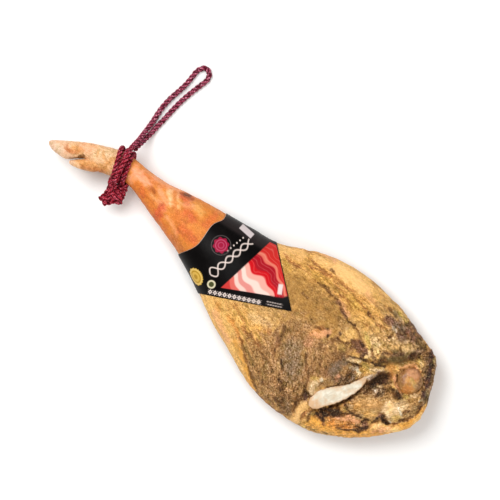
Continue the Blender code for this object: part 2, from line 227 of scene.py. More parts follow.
def soft_spot(x, y, at_x, at_y, radius_x, radius_y):
    return np.exp(-(((x - at_x) / radius_x) ** 2) - ((y - at_y) / radius_y) ** 2)


# Seeded noise
NOISE_ORIGIN = 37.3
NOISE_GAIN = 1.6


def lattice(seed):
    rng = np.random.default_rng(seed)
    table = rng.permutation(256)
    slopes = rng.normal(size=(256, 3))
    return np.concatenate([table, table, table]), slopes / np.linalg.norm(slopes, axis=1)[:, None]


def noise(points, size, seed=0):
    """Gradient noise from about -1 to 1, with features of that size."""
    table, slopes = lattice(seed)
    p = np.asarray(points, float) / size + NOISE_ORIGIN
    cell = np.floor(p).astype(int)
    f = p - cell
    w = f * f * f * (f * (f * 6 - 15) + 10)
    total = 0
    for corner in np.ndindex(2, 2, 2):
        i, j, k = ((cell[..., n] + d) & 255 for n, d in enumerate(corner))
        slope = slopes[table[table[table[i] + j] + k]]
        share = 1.0
        for n, d in enumerate(corner):
            share = share * (w[..., n] if d else 1 - w[..., n])
        total = total + share * (slope * (f - corner)).sum(-1)
    return total * NOISE_GAIN


def cloud(points, size, octaves, seed=0, fade=0.5):
    """Noise with finer and fainter noise on top, one for each octave."""
    return sum(fade**k * noise(points, size / 2**k, seed + k) for k in range(octaves))


def streaks(p, turn, size, length, seed, octaves=2):
    """Noise drawn out along a direction in plan, given in degrees."""
    c, s = math.cos(math.radians(turn)), math.sin(math.radians(turn))
    along_it = (p[..., 0] * c + p[..., 1] * s) / length
    across = p[..., 1] * c - p[..., 0] * s
    return cloud(np.stack([along_it, across, p[..., 2] * 0.7], -1), size, octaves, seed, 0.6)


# The leg's form
LEG_SAMPLES = 6000
LEAD_SAMPLES = 400
TABLE_T = np.linspace(0, len(LEG_ROWS) - 1, LEG_SAMPLES)
TABLE_X = np.maximum.accumulate(along(LEG_ROWS, TABLE_T)[:, 0])


def section(row, angle, peak=1.0):
    x, y_low, y_high, z_low, z_rim, z_top = np.moveaxis(row, -1, 0)
    c, s = np.cos(angle), np.sin(angle)
    y = (y_low + y_high) / 2 + (y_high - y_low) / 2 * c
    z = np.where(s >= 0, z_rim + (z_top - z_rim) * np.abs(s) ** peak, z_rim + (z_rim - z_low) * s)
    return np.stack([x + 0 * y, y, z], axis=-1)


def crest(x):
    return CREST_SHANK + (CREST_BODY - CREST_SHANK) * smooth_step(x, *CREST_CHANGE_X)


def leg_plain(t, angle):
    row = along(LEG_ROWS, t)
    return section(row, angle, crest(row[..., 0]))


def leg_outside(x, angle, offset):
    """Points that far outside the plain leg, at places along it and angles round it."""
    t = np.interp(x, TABLE_X, TABLE_T)
    across = leg_plain(t, angle + 0.01) - leg_plain(t, angle - 0.01)
    forward = leg_plain(t + 0.02, angle) - leg_plain(t - 0.02, angle)
    normal = np.cross(across, forward)
    normal /= np.linalg.norm(normal, axis=-1)[..., None]
    return leg_plain(t, angle) + np.asarray(offset)[..., None] * normal


def angle_at(row, y):
    """The angle at which the upper half of a section has that y."""
    half = (row[2] - row[1]) / 2
    return math.acos(np.clip((y - row[1] - half) / half, -1, 1))


def spread_angles(count, flatness):
    """Angles from 0 to pi that lie evenly round a section that many times wider than it is high."""
    fine = np.linspace(0, math.pi, 4000)
    reach = np.concatenate([[0], np.cumsum(np.hypot(flatness * np.sin(fine[1:]), np.cos(fine[1:])))])
    return np.interp(np.arange(count) / count, reach / reach[-1], fine)


def lead_x(y):
    """The x of the sleeve's edge towards the toes."""
    ys, xs = zip(*SLEEVE_LEAD)
    steps = np.linspace(0, len(ys) - 1, LEAD_SAMPLES)
    t = np.interp(y, along([(v,) for v in ys], steps)[:, 0], steps)
    return along([(v,) for v in xs], t)[..., 0]


def trail_x(y):
    """The x of the sleeve's edge towards the butt end, two straight lines that meet in its tip."""
    tip_x, tip_y = SLEEVE_TIP
    high, low = (tip_x + (end_x - tip_x) * (y - tip_y) / (end_y - tip_y)
                 for end_x, end_y in (SLEEVE_TRAIL_HIGH, SLEEVE_TRAIL_LOW))
    return np.where(y > tip_y, high, low)


# Creases and ridges of the cut side: points in plan, depth (negative for a ridge), half width
CREASES = [
    (RIND_LINE, 6.0, 7.0),
    (STRIP_LINE, 3.0, 3.5),
    (SEAM_LINE, 3.0, 4.0),
    ([(222, 32), (231, 40), (242, 46), (252, 38), (258, 26)], 2.5, 1.8),
    ([(240, 21), (250, 27), (262, 22), (272, 26), (284, 31)], 5.0, 2.4),
    ([(290, 37), (303, 46), (317, 58), (326, 72), (333, 88)], 5.0, 3.2),
    ([(283, -14), (289, -30), (284, -48), (276, -64), (268, -76)], 5.0, 2.6),
    ([(288, -80), (303, -65), (318, -62), (330, -66)], 3.5, 2.4),
    ([(326, -76), (337, -80), (344, -62), (349, -44)], 4.0, 2.4),
    ([(322, 36), (330, 28), (346, 21), (358, 24)], 2.6, 1.6),
    ([(318, 55), (324, 66), (336, 74), (352, 76), (364, 66)], 2.2, 1.8),
    ([(300, -8), (306, 6), (314, 18), (320, 30)], 7.0, 5.0),
    ([(396, 26), (387, 48), (376, 70), (364, 88), (352, 101)], 3.5, 2.6),
    ([(262, 126), (276, 118), (300, 116), (330, 108)], 1.6, 2.0),
    ([(88, 104), (106, 103), (132, 104), (150, 107), (176, 106)], 1.6, 1.6),
    ([(50, 79), (70, 80), (92, 84), (112, 86)], 1.5, 1.5),
    ([(76, 97), (84, 90), (104, 94), (124, 99)], 1.5, 1.5),
    ([(110, 88), (140, 92), (168, 88), (188, 90)], 1.4, 1.6),
    ([(180, 100), (205, 97), (222, 91), (244, 88)], 1.8, 1.8),
    ([(212, 118), (232, 121), (250, 112)], 1.5, 2.0),
    ([(160, 18), (170, 24), (184, 22), (190, 14)], 2.0, 1.8),
    ([(150, -67), (158, -74), (164, -80)], 1.8, 1.2),
    ([(122, -40), (130, -56), (140, -64), (150, -72)], 1.4, 1.6),
    ([(196, -30), (203, -50), (206, -66), (212, -78), (222, -84)], 3.4, 3.4),
    ([(213, -95), (216, -112), (224, -124), (232, -130)], 3.0, 3.0),
    ([(246, -98), (256, -106), (272, -108)], 2.2, 2.0),
    ([(100, -68), (114, -76), (132, -80), (148, -84)], 1.3, 1.6),
    ([(64, -84), (84, -98), (104, -112), (120, -122)], -1.0, 3.0),
    ([(228, -100), (230, -116), (236, -130)], -2.2, 5.0),
    ([(292, -84), (304, -74), (318, -66)], -3.0, 4.0),
    ([(300, -40), (318, -48), (336, -44)], -3.0, 8.0),
    ([(326, 52), (330, 40), (338, 30)], -1.6, 2.2),
    ([(260, 14), (276, 18), (292, 20)], -3.0, 5.0),
    ([(344, 78), (350, 82)], -3.0, 5.0),
]
# Round pits: x, y, radius along x, radius along y, turn in degrees, depth
PITS = [
    (271, -88, 13, 10, 30, 9.0),
    (309, 16, 9, 13, -28, 7.0),
    (292, -6, 7, 7, 0, 5.0),
    (331, -62, 7, 6, 0, 5.0),
    (362, -36, 12, 3.5, 5, 5.5),
    (335, 14, 11, 7, -10, 3.0),
    (240, 34, 13, 8, 10, 3.5),
    (332, 96, 8, 9, 0, 4.0),
    (226, -82, 8, 6, 0, 4.0),
    (378, 52, 7, 12, 30, 3.0),
    (173, -8, 8, 10, 0, 2.0),
    (225, 18, 7, 6, 0, -2.0),
    (-205, 30, 7, 4, -8, 1.8),
    (262, -22, 12, 16, -30, -3.0),
]

# Where the relief sets in: past the ledge, before the roll, past the sleeve and on the shank
LEDGE_RISE = (-5, 9)
ROLL_RISE = (0, 15)
SLEEVE_RISE = (4, 30)
SHANK_RISE = (130, 160)


def pit(x, y, at_x, at_y, radius_x, radius_y, turn, depth):
    """The depth of a round pit, which lies turned in plan."""
    c, s = math.cos(math.radians(turn)), math.sin(math.radians(turn))
    dx, dy = x - at_x, y - at_y
    return depth * np.exp(-(np.hypot((dx * c + dy * s) / radius_x, (dy * c - dx * s) / radius_y) ** 2))


def relief(x, y):
    """Height that the cut side has over the plain form."""
    past_ledge = smooth_step(x - x_on_line(y, LEDGE_LINE), *LEDGE_RISE)
    before_roll = smooth_step(x_on_line(y, ROLL_LINE) - x, *ROLL_RISE)
    height = -HOLLOW_DEPTH * past_ledge * before_roll
    for line, depth, width in CREASES:
        height = height - depth * np.exp(-((line_distance(x, y, line) / width) ** 2))
    for spot in PITS:
        height = height - pit(x, y, *spot)
    for *spot, rise in MOUNDS:
        height = height + rise * soft_spot(x, y, *spot)
    shank = smooth_step(-x, *SHANK_RISE)
    return height * np.maximum(smooth_step(x - trail_x(y), *SLEEVE_RISE), shank)


def leg_top(x, y):
    """The height of the cut side at one place in plan."""
    row = along(LEG_ROWS, np.interp(x, TABLE_X, TABLE_T))
    angle = angle_at(row, y)
    z = section(row, angle, crest(x))[2]
    return float(z + relief(np.array(float(x)), np.array(float(y))) * min(1.0, 1.5 * math.sin(angle)))


# Meshes
def linked(name, data):
    obj = bpy.data.objects.new(name, data)
    bpy.context.scene.collection.objects.link(obj)
    return obj


def mesh_object(name, verts, faces, smooth=True):
    data = bpy.data.meshes.new(name)
    data.from_pydata((np.asarray(verts) * MM).tolist(), [], faces)
    if smooth:
        data.shade_smooth()
    return linked(name, data)


def grid_faces(rings, sides):
    """Quads of a tube of rings, whose points run ring by ring."""
    i, k = np.meshgrid(np.arange(rings - 1), np.arange(sides), indexing="ij")
    n = (k + 1) % sides
    quads = np.stack([i * sides + k, i * sides + n, (i + 1) * sides + n, (i + 1) * sides + k], -1)
    return quads.reshape(-1, 4).tolist()


def closed_tube(name, grid, first, last):
    """A closed mesh from rings of points, with one point at each end."""
    rings, sides = grid.shape[:2]
    faces = grid_faces(rings, sides)
    a, b, base = rings * sides, rings * sides + 1, (rings - 1) * sides
    for k in range(sides):
        n = (k + 1) % sides
        faces.append((a, n, k))
        faces.append((b, base + k, base + n))
    obj = mesh_object(name, np.concatenate([grid.reshape(-1, 3), [first, last]]), faces)
    face_outwards(obj)
    return obj


def face_outwards(obj):
    mesh = bmesh.new()
    mesh.from_mesh(obj.data)
    bmesh.ops.recalc_face_normals(mesh, faces=mesh.faces)
    mesh.to_mesh(obj.data)
    mesh.free()


def join(name, objects):
    """One object from several, keeping their meshes and attributes."""
    with bpy.context.temp_override(active_object=objects[0], selected_editable_objects=objects):
        bpy.ops.object.join()
    objects[0].name = objects[0].data.name = name
    return objects[0]


def set_attribute(obj, key, values):
    values = np.asarray(values, np.float32)
    kind, field = ("FLOAT", "value") if values.ndim == 1 else ("FLOAT_VECTOR", "vector")
    obj.data.attributes.new(key, kind, "POINT").data.foreach_set(field, values.ravel())


def coordinates(obj, field="co"):
    """The points of a mesh in metres, or their normals."""
    found = np.zeros(len(obj.data.vertices) * 3)
    obj.data.vertices.foreach_get(field, found)
    return found.reshape(-1, 3)


def finish_piece(obj, made, node):
    obj.data.materials.clear()
    obj.data.materials.append(made)
    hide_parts(node)
    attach(obj, "root")


# Colours
def to_linear(rgb):
    """Colours from 0 to 255, as the eye sees them, as the light that they stand for."""
    c = np.clip(rgb, 0, 255) / 255
    return np.where(c > 0.04045, ((c + 0.055) / 1.055) ** 2.4, c / 12.92)


def over(under, colour, share):
    """One colour laid over another, by a share at each point."""
    share = np.asarray(share)[..., None]
    return np.asarray(under, float) * (1 - share) + np.asarray(colour, float) * share


# Material building
class Nodes:
    """Short words for building a material's nodes. Colours are from 0 to 255, as the eye sees them."""

    COLOUR_INPUTS = (0, 6, 7)
    COLOUR_OUTPUT = 2
    NUMBER_INPUTS = (0, 2, 3)

    def __init__(self, name):
        self.material = bpy.data.materials.new(name)
        self.material.use_nodes = True
        self.tree = self.material.node_tree

    def plug(self, socket, value):
        """Put a link, a colour or another value into a socket."""
        if isinstance(value, bpy.types.NodeSocket):
            self.tree.links.new(value, socket)
        elif socket.type == "RGBA" and value is not None:
            socket.default_value = (*to_linear(value), 1)
        elif value is not None:
            socket.default_value = value

    def new(self, kind, inputs, **settings):
        node = self.tree.nodes.new(kind)
        for key, value in settings.items():
            setattr(node, key, value)
        for key, value in inputs.items():
            self.plug(node.inputs[key], value)
        return node

    def attribute(self, name, output="Fac"):
        return self.new("ShaderNodeAttribute", {}, attribute_name=name).outputs[output]

    def place(self):
        return self.new("ShaderNodeTexCoord", {}).outputs["Object"]

    def maths(self, operation, a, b=None, clamp=False):
        return self.new("ShaderNodeMath", {0: a, 1: b}, operation=operation, use_clamp=clamp).outputs[0]

    def times(self, a, b, clamp=False):
        return self.maths("MULTIPLY", a, b, clamp)

    def plus(self, a, b):
        return self.maths("ADD", a, b)

    def minus(self, a, b):
        return self.maths("SUBTRACT", a, b)

    def stretch(self, coords, scale):
        return self.new("ShaderNodeVectorMath", {0: coords, 1: scale}, operation="MULTIPLY").outputs[0]

    def turn(self, coords, degrees):
        inputs = {"Vector": coords, "Angle": math.radians(degrees)}
        return self.new("ShaderNodeVectorRotate", inputs, rotation_type="Z_AXIS").outputs[0]

    def shift(self, coords, size, reach):
        """Coordinates moved by up to about that reach in millimetres, by noise of that size."""
        push = self.new("ShaderNodeTexNoise", {"Vector": coords, "Scale": 1 / (size * MM)}).outputs["Color"]
        inputs = {0: push, 1: (2 * reach * MM,) * 3, 2: coords}
        return self.new("ShaderNodeVectorMath", inputs, operation="MULTIPLY_ADD").outputs[0]

    def noise(self, coords, size, detail=3.0, rough=0.55, warp=0.0):
        """Noise from 0 to 1 with features of that size in millimetres."""
        inputs = {"Vector": coords, "Scale": 1 / (size * MM), "Detail": detail}
        inputs.update({"Roughness": rough, "Distortion": warp})
        return self.new("ShaderNodeTexNoise", inputs).outputs["Fac"]

    def cells(self, coords, size):
        """The distance to the nearest of scattered points, which lie about that far apart in millimetres."""
        inputs = {"Vector": coords, "Scale": 1 / (size * MM)}
        return self.new("ShaderNodeTexVoronoi", inputs).outputs["Distance"]

    def range(self, value, low, high, to_low=0.0, to_high=1.0, smooth=True):
        inputs = {"Value": value, "From Min": low, "From Max": high, "To Min": to_low, "To Max": to_high}
        kind = "SMOOTHSTEP" if smooth else "LINEAR"
        return self.new("ShaderNodeMapRange", inputs, interpolation_type=kind).outputs["Result"]

    def blend(self, share, a, b):
        """A number between two numbers."""
        inputs = dict(zip(self.NUMBER_INPUTS, (share, a, b)))
        return self.new("ShaderNodeMix", inputs, data_type="FLOAT").outputs[0]

    def mix(self, share, a, b, blend="MIX"):
        """A colour between two colours."""
        node = self.tree.nodes.new("ShaderNodeMix")
        node.data_type, node.blend_type = "RGBA", blend
        for key, value in zip(self.COLOUR_INPUTS, (share, a, b)):
            self.plug(node.inputs[key], value)
        return node.outputs[self.COLOUR_OUTPUT]

    def bump(self, height, distance, strength):
        inputs = {"Strength": strength, "Distance": distance * MM, "Height": height}
        return self.new("ShaderNodeBump", inputs).outputs["Normal"]

    def done(self, colour, roughness, normal, **values):
        shader = self.tree.nodes["Principled BSDF"]
        values = {"Base_Color": colour, "Roughness": roughness, "Normal": normal, **values}
        for key, value in values.items():
            self.plug(shader.inputs[key.replace("_", " ")], value)
        return self.material


# Camera, light and floor
PHOTO_TURN = math.radians(38)
VIEW_CENTRE = (-11.3, 52.5, 55)
VIEW_WIDTH = 875
LENS = 250
SKY_COLOUR = (1.0, 0.99, 0.975, 1)
SKY_STRENGTH = 0.5
# Soft boxes: where from in metres along the photograph's own directions (right, up, to the eye), side, watts
SOFT_BOXES = [(-0.8, 0.9, 2.2, 1.5, 52), (1.1, -1.1, 1.8, 1.4, 16)]
FLOOR_REACH = 9000
FLOOR_COLOUR = (246, 246, 245)


def make_camera():
    camera = linked("camera", bpy.data.cameras.new("camera"))
    camera.data.lens = LENS
    camera.data.clip_end = 100
    distance = VIEW_WIDTH * LENS / camera.data.sensor_width
    camera.location = (Vector(VIEW_CENTRE) + Vector((0, 0, distance))) * MM
    camera.rotation_euler = (0, 0, PHOTO_TURN)
    bpy.context.scene.camera = camera


def make_light():
    world = bpy.data.worlds.new("studio")
    bpy.context.scene.world = world
    world.use_nodes = True
    background = world.node_tree.nodes["Background"]
    background.inputs["Color"].default_value = SKY_COLOUR
    background.inputs["Strength"].default_value = SKY_STRENGTH
    right = Vector((math.cos(PHOTO_TURN), math.sin(PHOTO_TURN), 0))
    up = Vector((-math.sin(PHOTO_TURN), math.cos(PHOTO_TURN), 0))
    for k, (to_right, to_up, height, side, power) in enumerate(SOFT_BOXES):
        light = linked(f"softbox_{k}", bpy.data.lights.new(f"softbox_{k}", "AREA"))
        light.data.shape = "SQUARE"
        light.data.size = side
        light.data.energy = power
        light.location = right * to_right + up * to_up + Vector((0, 0, height))
        light.rotation_euler = (-light.location).to_track_quat("-Z", "Y").to_euler()
    bpy.context.scene.view_settings.view_transform = "Standard"


def make_floor():
    corners = [(x * FLOOR_REACH, y * FLOOR_REACH, 0) for x, y in ((-1, -1), (1, -1), (1, 1), (-1, 1))]
    floor = mesh_object("floor", corners, [(0, 1, 2, 3)], smooth=False)
    m = Nodes("floor_paper")
    floor.data.materials.append(m.done(FLOOR_COLOUR, 0.9, m.bump(m.noise(m.place(), 2.0, 4), 0.05, 0.3)))


make_camera()
make_light()
make_floor()


# Rope
ROPE_STRANDS = 3
ROPE_LAY = 27.0
ROPE_SIDES = 30
ROPE_STEP = 1.0
ROPE_SWELL = 1.06
ROPE_UNEVENNESS = 0.035
ROPE_END_ROUND = 2.4
STRAND_SPREAD = 0.45
FADED_FROM_Y = (40, 95)
LOOP_START = (-263, -9, 63.5)
LOOP_ANGLES = (155, 138, 120, 100, 80, 60, 40, 20)
TURN_POINTS = 36
# The knot: points along its coil, turns it falls short of its lobes, the angle it starts at, and how far it
# stands out. Its two straight strands: how far they lie from its middle and how far they reach out of it
COIL_POINTS = 120
COIL_SHORT_BY = 0.4
COIL_START = 0.8
COIL_OUTSET = 0.2
CORE_OFFSET = 3.4
CORE_REACH = 0.5
TAIL_RADIUS = 0.58 * ROPE
STUB_RADIUS = 0.55 * ROPE


def over_ankle(angle, base_x, lean, lift=0.0):
    angle = np.asarray(angle, float)
    y = leg_outside(base_x + 0 * angle, angle, ROPE / 2 + 0 * angle)[..., 1]
    x = base_x - lean * (y - ANKLE_MIDDLE_Y)
    return leg_outside(x, angle, ROPE / 2 + ROPE_SKIN_GAP + lift + 0 * angle)


def loop_route():
    over_leg = over_ankle(np.radians(LOOP_ANGLES), STRAND_X, STRAND_LEAN, STRAND_LIFT)
    return np.concatenate([[LOOP_START], over_leg, LOOP_ROUTE])


def turns_route():
    turn = np.arange(TURNS * TURN_POINTS) / TURN_POINTS
    around = over_ankle(math.pi - math.tau * turn, TURN_START_X + TURN_PITCH * turn, TURN_LEAN)
    return np.concatenate([evenly(FIRST_TAIL, 7), around, [KNOT_AT]])


def lobed(angle, radius):
    """The outline of round strands side by side, as a distance from the rope's middle."""
    share = math.tau / ROPE_STRANDS
    off = (angle + share / 2) % share - share / 2
    centre, strand = STRAND_SPREAD * radius, (1 - STRAND_SPREAD) * radius
    return centre * np.cos(off) + np.sqrt(np.maximum(strand**2 - (centre * np.sin(off)) ** 2, 0))


def frames(points):
    """Directions along a line of points, and two across it that turn with it as little as they can."""
    ahead = np.gradient(points, axis=0)
    ahead /= np.linalg.norm(ahead, axis=1)[:, None]
    side = np.zeros_like(points)
    start = np.cross(ahead[0], (0.3, 0.2, 1.0))
    side[0] = start / np.linalg.norm(start)
    for k in range(1, len(points)):
        turned = side[k - 1] - ahead[k] * np.dot(side[k - 1], ahead[k])
        side[k] = turned / np.linalg.norm(turned)
    return side, np.cross(ahead, side)


def rope_mesh(name, route, phase=0.0, radius=ROPE / 2, seed=5):
    """A twisted rope along a route, with a little unevenness in its strands."""
    points = evenly(route, step=ROPE_STEP)
    side, up = frames(points)
    reach = np.arange(len(points)) * ROPE_STEP
    around = np.linspace(0, math.tau, ROPE_SIDES, endpoint=False)
    local = around[None, :] - (math.tau * reach / ROPE_LAY + phase)[:, None]
    outer = radius * ROPE_SWELL
    r = lobed(local, outer)
    valley = 1 - r / outer
    shape = np.cos(around)[None, :, None] * side[:, None] + np.sin(around)[None, :, None] * up[:, None]
    r = r * (1 + ROPE_UNEVENNESS * noise(points[:, None] + shape * r[..., None], 3.0, seed))
    close = np.minimum(reach, reach[-1] - reach)
    taper = 1 - (1 - np.minimum(close, ROPE_END_ROUND) / ROPE_END_ROUND) ** 2
    r = r * np.sqrt(np.clip(taper, 0.05, 1))[:, None]
    obj = closed_tube(name, points[:, None] + shape * r[..., None], points[0], points[-1])
    # The third number is how deep a point lies in a valley between strands, which the material darkens as
    # painted shade
    fibre = np.stack([local * radius, np.broadcast_to(reach[:, None], r.shape), valley * 2.6], -1)
    ends = [(0.0, 0.0, 0.0), (0.0, reach[-1], 0.0)]
    set_attribute(obj, "fibre", np.concatenate([fibre.reshape(-1, 3), ends]))
    set_attribute(obj, "faded", smooth_step(coordinates(obj)[:, 1] / MM, *FADED_FROM_Y))
    return obj, points


def rope_material():
    """Crimson cord at the ankle, faded to a duller pink along the free loop, with painted shade in the
    valleys between its strands and pale fuzz that is partly a painted highlight.
    """
    m = Nodes("twisted_cord")
    faded = m.attribute("faded")
    dark = m.mix(faded, (102, 1, 14), (92, 6, 30))
    light = m.mix(faded, (178, 36, 54), (170, 64, 92))
    fuzz_and_highlight = m.mix(faded, (226, 120, 138), (232, 156, 178))
    deep = m.mix(faded, (58, 0, 5), (60, 4, 18))
    fibre = m.attribute("fibre", "Vector")
    valley = m.new("ShaderNodeSeparateXYZ", {0: fibre}).outputs["Z"]
    yarn = m.noise(m.stretch(fibre, (0.001, 0.00022, 0.0)), 0.55, 2, 0.6)
    fuzz = m.noise(m.place(), 1.8, 2)
    mottle = m.noise(m.place(), 7, 3)
    colour = m.mix(m.range(yarn, 0.42, 0.62), dark, light)
    # Pale fuzz, partly a painted highlight
    colour = m.mix(m.range(fuzz, 0.5, 0.66, 0, 0.85), colour, fuzz_and_highlight)
    colour = m.mix(m.range(mottle, 0.52, 0.62, 0, 0.75), colour, deep)
    # Painted shade in the valleys between the strands
    colour = m.mix(m.range(valley, 0.2, 0.95), colour, (46, 1, 6))
    height = m.plus(m.times(yarn, 0.7), m.times(fuzz, 0.3))
    roughness = m.range(yarn, 0.3, 0.7, 0.8, 0.55)
    return m.done(colour, roughness, m.bump(height, 0.7, 0.9), Specular_IOR_Level=0.03)


def knot_parts():
    """The knot: a coil of rope round two straight strands."""
    axis = Vector(KNOT_AXIS).normalized()
    side = axis.cross(Vector((0.3, 0.1, 1))).normalized()
    axis, side, up = (np.array(v) for v in (axis, side, axis.cross(side)))
    middle = np.array(KNOT_AT, float)
    radius = KNOT_RADIUS - ROPE / 2 + COIL_OUTSET
    share = np.linspace(0, 1, COIL_POINTS)
    angle = math.tau * (KNOT_LOBES - COIL_SHORT_BY) * share + COIL_START
    reach = (share - 0.5) * (KNOT_LENGTH - ROPE + 2 * COIL_OUTSET)
    around = np.cos(angle)[:, None] * side + np.sin(angle)[:, None] * up
    coil = middle + reach[:, None] * axis + radius * around
    pieces = [rope_mesh("knot_coil", coil, phase=1.0)[0]]
    half = KNOT_LENGTH / 2 + CORE_REACH
    for k, sign in enumerate((1, -1)):
        core = np.array([middle + CORE_OFFSET * sign * side + axis * s for s in (-half, 0, half)])
        pieces.append(rope_mesh(f"knot_core_{k}", core, phase=k)[0])
    return pieces


def make_rope():
    finish = rope_material()
    loop, path = rope_mesh("rope_loop_cord", loop_route())
    finish_piece(loop, finish, "rope_loop")
    turns, _ = rope_mesh("turns", turns_route(), phase=0.7, seed=9)
    tail, _ = rope_mesh("tail", SECOND_TAIL, phase=2.0, radius=TAIL_RADIUS, seed=11)
    stub, _ = rope_mesh("stub", STUB, phase=3.0, radius=STUB_RADIUS, seed=13)
    knot = join("rope_knot_and_turns", [turns, tail, stub] + knot_parts())
    finish_piece(knot, finish, "rope_knot")


make_rope()


# The ham's surface
# Tissues, with painted shade and highlights listed like them: red, green, blue as the eye sees them,
# unevenness, shine. The dark tissue is dark meat with painted shade in the pits and creases where its strokes
# sink the surface, and shade is painted shade in the foot's cleft.
TISSUES = {
    "fat": (240, 186, 104, 0.7, 0.5), "ochre": (228, 168, 84, 1.0, 0.45), "gold": (232, 164, 70, 0.45, 0.6),
    "orange": (214, 134, 56, 0.8, 0.5), "peach": (246, 192, 118, 0.35, 0.55),
    "pink": (236, 168, 118, 0.5, 0.5), "cream": (232, 198, 148, 0.7, 0.4), "white": (244, 228, 200, 0.7, 0.4),
    "tan": (206, 160, 98, 0.9, 0.4), "olive": (172, 125, 60, 0.6, 0.45), "muscle": (184, 139, 82, 0.9, 0.4),
    "brown": (166, 122, 70, 1.1, 0.3), "mould": (192, 145, 96, 1.2, 0.15),
    "grey_brown": (150, 115, 82, 1.3, 0.15), "grey": (164, 134, 102, 1.2, 0.15),
    "slate": (128, 106, 86, 0.9, 0.3), "purple": (134, 88, 66, 1.1, 0.35), "plum": (78, 46, 40, 1.0, 0.5),
    "dark": (62, 36, 14, 0.9, 0.5), "umber": (102, 63, 28, 1.0, 0.4), "moss": (102, 80, 44, 0.7, 0.25),
    "rust": (160, 96, 48, 1.0, 0.45), "rose": (212, 146, 106, 0.8, 0.5), "yellow": (216, 180, 96, 0.9, 0.5),
    "lemon": (200, 154, 60, 0.9, 0.5), "rind": (200, 142, 78, 0.9, 0.35), "skin": (214, 126, 48, 0.32, 0.5),
    "skin_deep": (208, 110, 42, 0.36, 0.5), "skin_pale": (238, 160, 118, 0.28, 0.5),
    "skin_light": (240, 188, 134, 0.3, 0.5), "skin_red": (208, 88, 48, 0.5, 0.5),
    "skin_dark": (172, 82, 40, 0.5, 0.5), "foot": (232, 182, 134, 0.5, 0.45),
    "foot_tan": (212, 142, 74, 0.55, 0.45), "foot_brown": (186, 104, 52, 0.55, 0.4),
    "nail": (226, 182, 144, 0.4, 0.7), "shade": (116, 76, 38, 0.5, 0.4),
}
